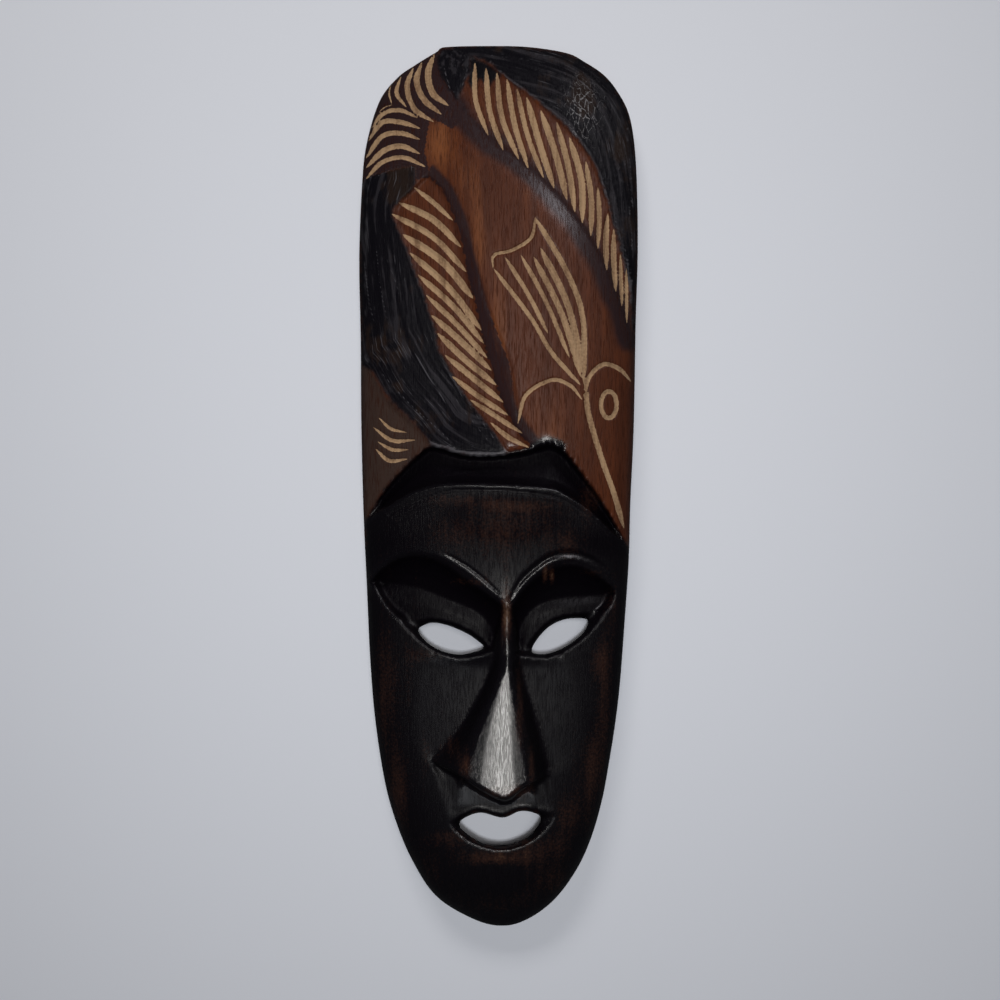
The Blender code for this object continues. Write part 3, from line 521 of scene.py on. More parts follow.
def hair_flow(points):
    """For the hair on either side: whether a point is in it, and its place across and along it."""
    held = np.zeros(len(points), bool)
    flow = np.zeros((len(points), 2))
    for first, second in (HAIR_RIGHT, HAIR_LEFT):
        inner, share = Field(first, second).across(points)
        far = distance_to(points[inner], second)
        near = distance_to(points[inner], first)
        held[inner] = True
        flow[inner, 0] = FLOW_ACROSS[0] * far - FLOW_ACROSS[1] * near
        flow[inner, 1] = points[inner, 1] + FLOW_SLANT * points[inner, 0]
    return held, flow


def bird_body():
    """The loop around the bird's body and the foot of the panel."""
    left_side = smooth_curve(BODY_LEFT)[::-1]
    return np.vstack((smooth_curve(BODY_RIGHT), BODY_REST, left_side, BODY_TOP[1:2]))


def panel_relief(points):
    """The raised bird, its two sunk wings, and the black side and corner of the upper panel."""
    body_right, body_left = smooth_curve(BODY_RIGHT), smooth_curve(BODY_LEFT)
    sunk = ((0, 0), (0.05, -WING_DEPTH), (0.92, -0.8 * WING_DEPTH), (1, 0))
    height = strip(CAP_EDGE, BODY_RIGHT).heights(points, sunk)
    left_wing = np.vstack((smooth_curve(WING_TOP), smooth_curve(SIDE_EDGE)))
    height += Field(left_wing, body_left).heights(points, sunk)
    held = inside(points, bird_body())
    shoulder = np.minimum(distance_to(points, body_right), distance_to(points, body_left))
    from_top = ease(distance_to(points, np.array(BODY_TOP, float)) / BODY_TOP_FADE)
    height += np.where(held, BODY_RISE * from_top * np.sqrt(ease(shoulder / SHOULDER)), 0.0)
    corner_edge = smooth_curve(CORNER_EDGE)
    in_corner = inside(points, np.vstack((corner_edge, CORNER_OUTER)))
    height -= np.where(in_corner, CORNER_DEPTH * ease(distance_to(points, corner_edge) / CORNER_FADE), 0.0)
    lip = LIP_RISE * np.clip(1 - distance_to(points, smooth_curve(PANEL_FOOT)) / LIP, 0.0, 1.0) ** 2
    for end, fade in LIP_ENDS:
        lip *= ease((points[:, 0] - end) / fade)
    return height + lip


bird_eye = np.array((EYE_RING_MIDDLE,))
print("the bird's eye lies", (1000 * panel_relief(bird_eye)).round(2), "mm over the block")

# %% [markdown]
# Under the panel a black band falls away steeply and climbs again to the arch over the forehead. The
# panel's edge hangs over it like a fringe and catches the light.

# %% The band under the panel
BAND_DEPTH = 0.0085
ARCH_BEAD = 0.0005
BEAD_REACH = 3.5

# Across the band: place from the panel to the arch, share of the band's depth
BAND_PROFILE = ((0, 0), (0.08, 1), (0.45, 0.86), (0.75, 0.60), (0.93, 0.18), (1, 0))


def band_relief(points):
    height = -BAND_DEPTH * strip(PANEL_FOOT, ARCH).heights(points, BAND_PROFILE)
    bead = 1 - distance_to(points, smooth_curve(ARCH)) / BEAD_REACH
    return height + ARCH_BEAD * np.sqrt(np.clip(bead, 0.0, 1.0))


print("band:", 1000 * BAND_DEPTH, "mm deep")

# %% [markdown]
# An eye is three forms in a row: the brow's thin bead, the socket that falls away under it and the
# lid, which rises out of the socket's deepest line again. The lid ends at a rim that slopes into the
# pierced opening.

# %% The eyes
SOCKET_DEPTH = 0.0090
OPENING_BEVEL = 0.0045
BEAD_SHARE = 0.13
RIM_SHARE = 0.70

# Across each form of an eye: place from one line to the next, share of the socket's depth
BROW_PROFILE = ((0, 0), (1, BEAD_SHARE))
SOCKET_PROFILE = ((0, BEAD_SHARE), (0.12, 0.44), (0.30, 0.68), (0.60, 0.88), (1, 1))
LID_PROFILE = ((0, 1), (0.15, 0.92), (0.5, 0.78), (1, RIM_SHARE))


def rim_slope(points, top, foot, hole):
    """How far down the slope from an opening's rim to its hole each point is, and how near the top."""
    rim = np.vstack((top, foot[::-1]))
    opening = smooth_curve(hole, closed=True)
    held = inside(points, rim)
    sunk, near_top = np.zeros(len(points)), np.zeros(len(points))
    close = points[held]
    to_hole = np.where(inside(close, opening), 0.0, distance_to(close, opening))
    from_rim = distance_to(close, rim)
    to_top, to_foot = distance_to(close, top), distance_to(close, foot)
    sunk[held] = from_rim / np.maximum(from_rim + to_hole, 1e-9)
    near_top[held] = to_foot / np.maximum(to_foot + to_top, 1e-9)
    return held, sunk, near_top


def eye_relief(points, brow, brow_foot, lid, lid_foot, corner, eye_top, eye_foot, hole):
    """One eye: brow, deep socket, lid, and the rim that slopes into the opening."""
    depth = strip(brow, brow_foot).heights(points, BROW_PROFILE)
    depth += strip(brow_foot, lid).heights(points, SOCKET_PROFILE)
    depth += Field(smooth_curve(lid), lid_foot).heights(points, LID_PROFILE)
    held, sunk, near_top = rim_slope(points, smooth_curve(eye_top), smooth_curve(eye_foot), hole)
    depth += np.where(held, RIM_SHARE * ease(near_top), 0.0)
    depth *= ease(distance_to(points, smooth_curve(corner)) / LID_FADE)
    return -SOCKET_DEPTH * depth - OPENING_BEVEL * sunk


print("sockets:", 1000 * SOCKET_DEPTH, "mm deep")

# %% [markdown]
# The nose is a long wedge that widens and rises to its tip, with flat cheeks scooped out beside it
# and two flat facets under it.

# %% The nose, the cheeks and the mouth
FACET_DEPTH = 0.0018
CHEEK_SCOOP = 0.0024
BRIDGE_RISE = 0.0028
BRIDGE = (505, 610)
BRIDGE_REACH = (20, 24)
NEAREST = 0.35

# Down the cheek: where the scoop begins, gets flatter and ends, as a sheet y and a reach
CHEEK_CHANGES = ((648, 22), (670, 90), (766, 16))

# Across the nose: place from one line to the next, share of the nose's height
NOSE_LEFT_SIDE = ((0, 0), (0.2, 0.15), (0.6, 0.62), (0.85, 0.84), (1, 0.93))
NOSE_FRONT = ((0, 0.93), (0.25, 0.985), (0.5, 1.0), (0.75, 0.988), (1, 0.94))
NOSE_RIGHT_SIDE = ((0, 0.94), (0.15, 0.83), (0.8, 0.1), (1, 0))


def nose_relief(points):
    """A long wedge: two steep sides and a narrow front that widens towards the tip."""
    share = np.interp(points[:, 1], *smooth_curve(NOSE_LINE).T)
    stands = (DEPTH - crown_height(NOSE_TIP)) * share
    shape = strip(NOSE_LEFT_FOOT, NOSE_LEFT_EDGE).heights(points, NOSE_LEFT_SIDE)
    shape += strip(NOSE_LEFT_EDGE, NOSE_RIGHT_EDGE).heights(points, NOSE_FRONT)
    shape += strip(NOSE_RIGHT_EDGE, NOSE_RIGHT_FOOT).heights(points, NOSE_RIGHT_SIDE)
    above = points[:, 1] < np.interp(points[:, 0], *smooth_curve(NOSE_BASE).T) + NEAREST
    return np.where(above, stands * shape, 0.0)


def cheek_relief(points):
    """The flat scoop of each cheek, deepest beside the nose, and the swell of the nose's bridge."""
    height = np.zeros(len(points))
    for cheek, foot, edge in ((LEFT_CHEEK, NOSE_LEFT_FOOT, NOSE_LEFT_EDGE),
                              (RIGHT_CHEEK, NOSE_RIGHT_FOOT, NOSE_RIGHT_EDGE)):
        height += strip(cheek, foot).heights(points, ((0, 0), (0.12, -0.25), (0.8, -1.0), (1, -1.0)))
        height += strip(foot, edge).heights(points, ((0, -1.0), (1, 0)))
    begin, flatter, end = (ease((points[:, 1] - start) / reach) for start, reach in CHEEK_CHANGES)
    fade = begin * (1 - 0.5 * flatter) * (1 - end)
    away = ((points - BRIDGE) / BRIDGE_REACH) ** 2
    return CHEEK_SCOOP * fade * height + BRIDGE_RISE * np.exp(-away.sum(axis=1))


def mouth_relief(points):
    """The two flat facets under the nose, and the rim that slopes into the mouth."""
    base, top = beside(smooth_curve(NOSE_BASE), 2 * NEAREST), smooth_curve(MOUTH_TOP)
    height = Field(base, top).heights(points, ((0, -FACET_DEPTH), (0.8, -0.5 * FACET_DEPTH), (1, 0)))
    for end in (0, -1):
        height *= ease(distance_to(points, np.vstack((base[end], top[end]))) / LID_FADE)
    return height - OPENING_BEVEL * rim_slope(points, top, smooth_curve(MOUTH_FOOT), MOUTH_HOLE)[1]


print("the nose stands", (1000 * nose_relief(NOSE_TIP)).round(1), "mm out of the block")

# %% [markdown]
# All forms together give the height of any point of the sheet. `place` then puts the point into the
# world on its line of sight, so what is drawn stays where it is drawn, however high it stands.


# %% Heights and places
BROW_GROOVE = 0.0019


def face_height(points):
    """Height of the carved front, before its grooves are cut."""
    left_foot = np.vstack((smooth_curve(LEFT_LID_SIDE), smooth_curve(LEFT_EYE_TOP)))
    right_foot = np.vstack((smooth_curve(RIGHT_EYE_TOP), smooth_curve(RIGHT_LID_SIDE)))
    carved = band_relief(points) + mouth_relief(points) + cheek_relief(points)
    carved += eye_relief(points, LEFT_BROW, LEFT_BROW_FOOT, LEFT_LID, left_foot, LEFT_LID_SIDE,
                         LEFT_EYE_TOP, LEFT_EYE_FOOT, LEFT_HOLE)
    carved += eye_relief(points, RIGHT_BROW, RIGHT_BROW_FOOT, RIGHT_LID, right_foot, RIGHT_LID_SIDE,
                         RIGHT_EYE_TOP, RIGHT_EYE_FOOT, RIGHT_HOLE)
    carved += np.where(above_foot(points), panel_relief(points), 0.0)
    carved += strip(RIGHT_GROOVE, RIGHT_BROW).heights(points, ((0, 0), (0.45, -BROW_GROOVE), (1, 0)))
    inward = ease(distance_to(points, OUTLINE_CURVE) / EDGE_FADE)
    return crown_height(points) + inward * carved + nose_relief(points)


def above_foot(points):
    """True for each point of the upper panel."""
    return points[:, 1] < np.interp(points[:, 0], *smooth_curve(PANEL_FOOT).T)


def place(points, height):
    """The place in the world of drawn points, given their heights."""
    nearness = (SIGHT - height) / (SIGHT - EDGE_HEIGHT)
    x = (points[:, 0] - SHEET_MIDDLE[0]) * WIDTH / SHEET_WIDTH * nearness
    y = (SHEET_MIDDLE[1] - points[:, 1]) * LENGTH / SHEET_LENGTH * nearness
    return np.column_stack((x, y, height))


print("the nose's tip is at", (1000 * place(NOSE_TIP, face_height(NOSE_TIP))).round(1), "mm")

# %% [markdown]
# ## The mesh
#
# A plain grid would cut every slanting edge into steps. So the mesh is a triangulation whose edges
# follow the drawn curves, with even points about 0.9 mm apart between them.

# %% Lines that the mesh follows
LINE_STEP = 3.0
FILL_STEP = 1.85
HOLE_STEP = 3.0
STEP_FOOT = 2.2


def bare_strokes():
    """Every groove that shows bare wood, as its middle line and its width."""
    for start, end, bow, width in RIGHT_WING_STROKES + LEFT_WING_STROKES + CLAW_STROKES:
        yield bowed(start, end, bow), width
    for points, width in TAIL_STROKES + FIN_STROKES + HEAD_STROKES:
        yield smooth_curve(points), width
    yield ellipse(EYE_RING_MIDDLE, EYE_RING_REACH), EYE_RING_STROKE


def guide_lines():
    """Every line that the surface's edges follow, in sheet units."""
    yield spaced(OUTLINE_CURVE, LINE_STEP)
    for hole in HOLES:
        yield spaced(smooth_curve(hole, closed=True), HOLE_STEP)
    for points in (CAP_EDGE, SIDE_EDGE, CORNER_EDGE, BODY_RIGHT, BODY_LEFT, ARCH, LEFT_BROW, LEFT_LID,
                   LEFT_LID_SIDE, LEFT_EYE_TOP, LEFT_EYE_FOOT, RIGHT_GROOVE, RIGHT_BROW, RIGHT_LID,
                   RIGHT_LID_SIDE, RIGHT_EYE_TOP, RIGHT_EYE_FOOT, NOSE_LEFT_FOOT, NOSE_LEFT_EDGE,
                   NOSE_RIGHT_EDGE, NOSE_RIGHT_FOOT, MOUTH_TOP, MOUTH_FOOT):
        yield spaced(smooth_curve(points), LINE_STEP)
    for points, offset in ((PANEL_FOOT, STEP_FOOT), (NOSE_BASE, STEP_FOOT / 2),
                           (LEFT_BROW_FOOT, STEP_FOOT), (RIGHT_BROW_FOOT, STEP_FOOT)):
        line = spaced(smooth_curve(points), LINE_STEP)
        yield line
        yield beside(line, offset)
    for line, width in bare_strokes():
        yield spaced(line, LINE_STEP)


lines = list(guide_lines())
print("guide lines:", len(lines), "with", sum(map(len, lines)), "points")


# %% [markdown]
# Rows of points fill the space between the lines, every second row shifted by half a step, so that
# the triangles come out nearly regular. Points too near a line are left out. Blender then joins them
# all with a Delaunay triangulation, which keeps every line as an edge.

# %% Even points between the lines
ROW_SHARE = 0.866
CLEARANCE = 0.55


def fill_points(lines, loop, step):
    """An even spread of points inside a loop that keeps clear of the lines."""
    along = np.vstack([spaced(line, step / 3) for line in lines])
    tree = KDTree(len(along))
    for index, point in enumerate(along):
        tree.insert((*point, 0.0), index)
    tree.balance()
    low, high = loop.min(axis=0), loop.max(axis=0)
    spread = []
    for index, y in enumerate(np.arange(low[1], high[1], step * ROW_SHARE)):
        x = np.arange(low[0] + (index % 2) * step / 2, high[0], step)
        spread.append(np.column_stack((x, np.full(len(x), y))))
    spread = np.vstack(spread)
    spread = spread[inside(spread, loop)]
    clear = [tree.find((*point, 0.0))[2] > CLEARANCE * step for point in spread]
    return spread[np.array(clear)]


def triangulate(lines, extra, loop, holes, nearest):
    """Triangles between the lines and the extra points, inside the loop and outside the holes."""
    points, edges = [], []
    for line in lines:
        start = len(points)
        points.extend(line.tolist())
        edges.extend((start + index, start + index + 1) for index in range(len(line) - 1))
    points.extend(extra.tolist())
    result = delaunay_2d_cdt([Vector(point) for point in points], edges, [], 0, nearest, False)
    verts = np.array([tuple(point) for point in result[0]])
    faces = np.array([tuple(face) for face in result[2]])
    middles = verts[faces].mean(axis=1)
    kept = inside(middles, loop)
    for hole in holes:
        kept &= ~inside(middles, hole)
    return verts, faces[kept]


outline = spaced(OUTLINE_CURVE, LINE_STEP)
holes = [spaced(smooth_curve(hole, closed=True), HOLE_STEP) for hole in HOLES]
extra = fill_points(lines, outline, FILL_STEP)
sheet, front_faces = triangulate(lines, extra, outline, holes, NEAREST)
print("front:", len(sheet), "points,", len(front_faces), "triangles")


# %% [markdown]
# Years of polishing have softened every edge. So the heights are evened out with their neighbours'
# a little, before any groove is cut. The border of the mesh keeps its height.

# %% Soften the carved forms
SOFTENING_ROUNDS = 2
RIDGE_ROUNDS = 14
RIDGE_REACH = 4.0
SHARP_REACH = 2.5


def neighbour_pairs(faces):
    """Every edge of the triangles, once each."""
    pairs = np.vstack((faces[:, (0, 1)], faces[:, (1, 2)], faces[:, (2, 0)]))
    return np.unique(np.sort(pairs, axis=1), axis=0)


def evened(values, pairs, rounds, held=None):
    """The values after each has moved halfway to its neighbours' average, a number of times."""
    first, second = pairs[:, 0], pairs[:, 1]
    count = np.bincount(np.concatenate((first, second)), minlength=len(values))
    result = values.copy()
    for _ in range(rounds):
        total = np.bincount(first, result[second], len(values))
        total += np.bincount(second, result[first], len(values))
        moved = (result + total / np.maximum(count, 1)) / 2
        result = moved if held is None else np.where(held, values, moved)
    return result


def border_edges(faces):
    """Edges that belong to one triangle alone, each in its triangle's direction."""
    directed = {(a, b) for face in faces.tolist() for a, b in zip(face, face[1:] + face[:1])}
    return [(a, b) for a, b in directed if (b, a) not in directed]


def border_loops(faces):
    """The border edges joined into closed loops of point numbers, longest first."""
    following = dict(border_edges(faces))
    loops = []
    while following:
        start = next(iter(following))
        loop, point = [], start
        while point in following:
            loop.append(point)
            point = following.pop(point)
        loops.append(loop)
    return sorted(loops, key=len, reverse=True)


loops = border_loops(front_faces)
pairs = neighbour_pairs(front_faces)
on_border = np.zeros(len(sheet), bool)
on_border[np.concatenate(loops)] = True
on_foot = distance_to(sheet, spaced(smooth_curve(PANEL_FOOT), LINE_STEP)) < NEAREST
heights = evened(face_height(sheet), pairs, SOFTENING_ROUNDS, on_border | on_foot)
crisp = np.ones(len(sheet), bool)
for line in (NOSE_LEFT_EDGE, NOSE_RIGHT_EDGE, LEFT_CHEEK, RIGHT_CHEEK):
    crisp &= distance_to(sheet, smooth_curve(line)) > RIDGE_REACH
for sharp in (NOSE_BASE, LEFT_EYE_TOP, RIGHT_EYE_TOP, LEFT_BROW_FOOT, RIGHT_BROW_FOOT):
    crisp |= distance_to(sheet, smooth_curve(sharp)) < SHARP_REACH
heights = evened(heights, pairs, RIDGE_ROUNDS, crisp | on_border)
front = place(sheet, heights)
print("front is", round(1000 * heights.max(), 2), "mm high, with", len(loops) - 1, "openings")

# %% [markdown]
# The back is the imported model's own hollow. Rays from below find its ceiling, so the two can't
# drift apart. The openings widen towards the back, as on real masks, where the wearer should see
# out. The outer wall, the front and the hollow are then sewn into one closed body.

# %% The hollow back
EDGE_ROUNDING = 0.0012
RIM_WIDTH = 0.0095
BACK_STEP = 0.004
WALL_HEIGHTS = (0.75, 0.5, 0.25, 0.1)
HOLE_FLARE = 0.0035
HOLE_HEIGHTS = (0.0, 0.33, 0.67, 1.0)
WELD = 2e-6


def shrunk(loop, distance):
    """A closed loop moved inwards."""
    before, after = np.roll(loop, 1, axis=0), np.roll(loop, -1, axis=0)
    along = after - before
    along /= np.hypot(along[:, 0], along[:, 1])[:, None]
    across = np.column_stack((-along[:, 1], along[:, 0]))
    moved = loop + across * distance
    if inside(moved[:1], loop)[0]:
        return moved
    return loop - across * distance


def hollow_ceiling(points):
    """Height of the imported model's underside above each point."""
    tree = BVHTree.FromObject(frame["nodes"]["mask"], bpy.context.evaluated_depsgraph_get())
    heights = np.zeros(len(points))
    for index, (x, y) in enumerate(points):
        hit = tree.ray_cast(Vector((x, y, -0.01)), Vector((0.0, 0.0, 1.0)))
        if hit[0] is not None and hit[1].z < 0:
            heights[index] = max(hit[0].z, 0.0)
    return heights


edge = front[loops[0]]
base = shrunk(edge[:, :2], EDGE_ROUNDING)
rim_loop = shrunk(base, RIM_WIDTH)
rim_loop = spaced(np.vstack((rim_loop, rim_loop[:1])), BACK_STEP)
hole_rings = [front[loop] for loop in loops[1:]]
flared_rings = [2 * ring[:, :2] - shrunk(ring[:, :2], HOLE_FLARE) for ring in hole_rings]
back_lines = [np.vstack((base, base[:1])), rim_loop]
back_lines += [np.vstack((ring, ring[:1])) for ring in flared_rings]
extra = fill_points(back_lines, rim_loop, BACK_STEP)
back, back_faces = triangulate(back_lines, extra, base, flared_rings, 1e-6)
in_hollow = inside(back, rim_loop) & (distance_to(back, rim_loop) > 1e-5)
ceiling = np.where(in_hollow, hollow_ceiling(back), 0.0)
ceiling = evened(ceiling, neighbour_pairs(back_faces), 2, ~in_hollow)
print("back:", len(back_faces), "triangles, hollow", round(1000 * ceiling.max(), 1), "mm deep")


# %% [markdown]
# Four parts make the body: the front, the outer wall, the hollow back and a wall for each opening.
# Their borders share the same points, so they can be welded. A solid from booleans would do too, but
# it would give up the even triangles of the front.

# %% Sew the body together
def add_wall(builder, rings):
    """Quads between rings of points, each a loop of x and y with its heights."""
    rows = [[builder.verts.new((*point, height)) for point, height in zip(*ring)] for ring in rings]
    for upper, lower in zip(rows, rows[1:]):
        for index in range(len(upper)):
            after = (index + 1) % len(upper)
            face = builder.faces.new((upper[index], upper[after], lower[after], lower[index]))
            face.smooth = True


builder = bmesh.new()
front_layer = builder.verts.layers.float.new("front")
sheet_layer = builder.verts.layers.float_vector.new("sheet")
front_verts = []
for point, (x, y), border in zip(front, sheet, on_border):
    vert = builder.verts.new(point)
    vert[front_layer] = 0.0 if border else 1.0
    vert[sheet_layer] = (x, y, 0.0)
    front_verts.append(vert)
for face in front_faces.tolist():
    builder.faces.new([front_verts[index] for index in face])

edge_rings = [(edge[:, :2], edge[:, 2])]
edge_rings += [(edge[:, :2], np.full(len(edge), share * EDGE_HEIGHT)) for share in WALL_HEIGHTS]
edge_rings.append((base, np.zeros(len(edge))))
add_wall(builder, edge_rings)

back_verts = [builder.verts.new((x, y, z)) for (x, y), z in zip(back, ceiling)]
for face in back_faces.tolist():
    builder.faces.new([back_verts[index] for index in face])
for ring, flared in zip(hole_rings, flared_rings):
    foot = ceiling[[np.hypot(*(back - point).T).argmin() for point in flared]]
    drop = np.column_stack((flared, foot)) - ring
    steps = [ring + share * drop for share in HOLE_HEIGHTS]
    add_wall(builder, [(step[:, :2], step[:, 2]) for step in steps])

bmesh.ops.remove_doubles(builder, verts=builder.verts, dist=WELD)
loose = [vert for vert in builder.verts if not vert.link_faces]
bmesh.ops.delete(builder, geom=loose, context="VERTS")
bmesh.ops.recalc_face_normals(builder, faces=builder.faces)
open_edges = sum(1 for side in builder.edges if len(side.link_faces) != 2)
body = bpy.data.meshes.new("carved_body")
builder.to_mesh(body)
builder.free()
print("body:", len(body.polygons), "faces,", open_edges, "open edges")

# %% [markdown]
# ## Cutting the grooves
#
# On the real mask every feather is one pass of a V gouge. Geometry Nodes do the same here: the
# strokes are polylines on the sheet, and each point of the front looks up its distance to the
# nearest one. Booleans would need a solid for each stroke and leave rough edges. The width tapers to
# a point at both ends, and a little noise makes the edges ragged, as in splintery wood.

# %% Strokes as polylines
GROOVE_DEPTH = 0.0012
STROKE_STEP = 0.8
TAPER = 16.0
LEAST_TAPER = 0.02


def stroke_object(name, strokes):
    """An object of polylines on the sheet, with half the width and the depth at each point."""
    points, sides, reach, depth = [], [], [], []
    for line, width, deep in strokes:
        line = spaced(line, STROKE_STEP)
        run = np.linspace(0.0, 1.0, len(line)) * STROKE_STEP * len(line)
        closed = np.hypot(*(line[0] - line[-1])) < 1e-6
        to_end = np.full(len(line), TAPER) if closed else np.minimum(run, run[-1] - run)
        taper = np.sqrt(np.clip(to_end / TAPER, LEAST_TAPER, 1.0))
        sides.extend((len(points) + index, len(points) + index + 1) for index in range(len(line) - 1))
        points.extend((x, y, 0.0) for x, y in line)
        reach.extend(width / 2 * taper)
        depth.extend(deep * taper)
    mesh = bpy.data.meshes.new(name)
    mesh.from_pydata(points, sides, [])
    mesh.attributes.new("reach", "FLOAT", "POINT").data.foreach_set("value", reach)
    mesh.attributes.new("depth", "FLOAT", "POINT").data.foreach_set("value", depth)
    result = bpy.data.objects.new(name, mesh)
    scene.collection.objects.link(result)
    return result


bare_lines = [(line, width, GROOVE_DEPTH) for line, width in bare_strokes()]
feather_cuts = stroke_object("feather_cuts", bare_lines)
print("bare strokes:", len(bare_lines))

# %% [markdown]
# A second set of lines is too narrow to bare the wood: creases and small raised edges that the light
# picks out. On the hair they are also painted pale, as highlights. A raised edge is a cut with a depth
# below zero.

# %% Creases and raised edges
CREASES = (
    (((440, 552), (450, 556.5), (470, 568.5), (490, 585), (502, 597)), 3.2, 0.0010),
    (((405, 556), (430, 554.5), (450, 561.5), (478, 580), (503, 602)), 2.0, -0.0003),
    (((512, 603), (527, 586), (546, 570), (563, 563), (580, 563.5), (599, 573)), 2.0, 0.0004),
    (((380, 522), (400, 508), (430, 497), (455, 490.5), (505, 490.5), (545, 495), (565, 501),
      (590, 517), (612, 538)), 3.0, 0.0005),
    (((389, 519), (414, 508.5), (440, 500)), 3.5, -0.0004),
    (((538, 497), (548, 498.5), (562, 502)), 3.5, -0.0004),
    (((373, 363), (392, 385), (412, 406), (439, 430), (459, 450)), 2.4, 0.0005),
    (((437, 354), (462, 396), (488, 430), (502, 450)), 2.2, -0.0005),
    (((431, 357), (456, 399), (482, 433), (496, 450)), 2.2, -0.0004),
    (((410.6, 345), (422.5, 366), (433.5, 384), (446, 405), (448, 415.5)), 3.0, -0.0005),
    (((445, 55), (444, 65), (447, 78), (455, 101), (466, 115)), 2.5, 0.0009),
    (((470, 60), (466, 72), (462, 85), (458, 98)), 2.5, 0.0006),
    (((365, 180), (380, 170), (400, 162), (415, 163), (427, 172)), 2.5, -0.0005),
    (((366, 184), (380, 174), (400, 166), (415, 167), (424, 174)), 2.5, 0.0008),
    (((430, 478), (465, 471), (510, 470), (550, 476), (575, 487)), 2.5, -0.0003),
    (((365, 262), (369, 300), (377, 334)), 2.2, -0.0004),
    (((375, 236), (380, 285), (388, 322), (395, 335)), 2.2, -0.0004),
    (((383, 250), (396, 283), (401, 304)), 2.2, -0.0004),
    (((478, 270), (485, 300), (499, 336), (511, 370), (517, 418)), 3.4, 0.0007),
    (((371, 505), (392, 520), (402, 531)), 3.0, -0.0003),
    (((468, 711), (456, 730), (438, 757)), 3.0, -0.0003),
    (((505, 803), (505, 814)), 2.5, -0.0004))

creases = stroke_object("creases", [(smooth_curve(points), *size) for points, *size in CREASES])
print("creases:", len(CREASES))

# %% [markdown]
# The hair is made of many shallow gouge cuts, none quite like the next. They follow the stretch of
# hair from its top to its foot, and a fixed seed chooses the place, length and width of each. Drawn
# by hand they would take hours, and a plain pattern of waves would look combed.

# %% Gouge cuts in the hair
HAIR_SEED = 11
RIGHT_HAIR = (CAP_EDGE, ((470, 46), (530, 46), (567, 52), (585, 61), (603, 73), (616, 88), (628, 110),
                         (634, 138), (637, 180), (638, 250), (636, 320)))
LEFT_HAIR = (WING_TOP[2:] + SIDE_EDGE[1:], ((364, 186), (359, 260), (360.5, 340), (372, 372),
                                            (391, 401.6), (416, 425), (440, 448), (500, 453)))
START_RANGE = (-0.1, 0.92)
ASIDE_RANGE = (0.05, 0.97)

# Sides, number of cuts, and the ranges of their lengths, widths and depths
HAIR_ZONES = ((RIGHT_HAIR, 75, (0.12, 0.40), (4.0, 8.5), (0.0004, 0.0010)),
              (LEFT_HAIR, 46, (0.10, 0.35), (2.5, 6.0), (0.0003, 0.0006)),
              ((TUFT_LEFT, TUFT_RIGHT), 7, (0.4, 0.8), (3.0, 6.0), (0.0004, 0.0008)))


def flowing_line(sides, share, start, stop):
    """A stretch of the line that runs a share of the way between two sides."""
    along = np.linspace(max(start, 0.0), min(stop, 1.0), 16)
    matched = []
    for side in sides:
        line = spaced(smooth_curve(side), LINE_STEP)
        places = np.linspace(0.0, 1.0, len(line))
        matched.append(np.column_stack([np.interp(along, places, axis) for axis in line.T]))
    return matched[0] + (matched[1] - matched[0]) * share


def gouge_cuts(sides, count, lengths, widths, depths, random):
    """Shallow cuts that flow between two sides, with their widths and depths."""
    for _ in range(count):
        start = random.uniform(*START_RANGE)
        stop = start + random.uniform(*lengths)
        line = flowing_line(sides, random.uniform(*ASIDE_RANGE), start, stop)
        yield line, random.uniform(*widths), random.uniform(*depths)


random = np.random.default_rng(HAIR_SEED)
hair_cuts = [stroke for zone in HAIR_ZONES for stroke in gouge_cuts(*zone, random)]
hair_gouges = stroke_object("hair_gouges", hair_cuts)
print("gouge cuts:", len(hair_cuts))


# %% [markdown]
# The tree below is built by a short helper, which makes a node, sets its options and joins its
# inputs. A value is set, and a socket is linked.

# %% A helper for node trees
def make_node(tree, kind, inputs=(), **options):
    """A new node with its options set, and each input set to a value or linked to a socket."""
    node = tree.nodes.new(kind)
    for name, value in options.items():
        setattr(node, name, value)
    for name, value in dict(inputs).items():
        if isinstance(value, bpy.types.NodeSocket):
            tree.links.new(value, node.inputs[name])
        else:
            node.inputs[name].default_value = value
    return node


def maths(tree, operation, *values, clamp=False):
    """The result of one sum on values or sockets."""
    node = make_node(tree, "ShaderNodeMath", enumerate(values), operation=operation, use_clamp=clamp)
    return node.outputs[0]


def vector_maths(tree, operation, first, second):
    """The result of one sum on two vectors."""
    node = make_node(tree, "ShaderNodeVectorMath", ((0, first), (1, second)), operation=operation)
    return node.outputs[0]


def new_tree(name, kind, inputs, outputs):
    """A node group with its sockets: each is a name, a socket type and a first value or None."""
    tree = bpy.data.node_groups.new(name, kind)
    for direction, sockets in (("INPUT", inputs), ("OUTPUT", outputs)):
        for label, socket_type, value in sockets:
            socket = tree.interface.new_socket(label, in_out=direction, socket_type=socket_type)
            if value is not None:
                socket.default_value = value
    return tree, tree.nodes.new("NodeGroupInput"), tree.nodes.new("NodeGroupOutput")


print("trees so far:", len(bpy.data.node_groups))

# %% [markdown]
# One tree does all the cutting. It looks up how wide and deep the nearest stroke is, makes the
# distance to it a little uneven, and pushes the point back along its line of sight. It also stores
# how far inside the stroke the point lies, for the stain and for the highlights painted on the hair.

# %% Build the tree that cuts strokes
LEAST_REACH = 0.3


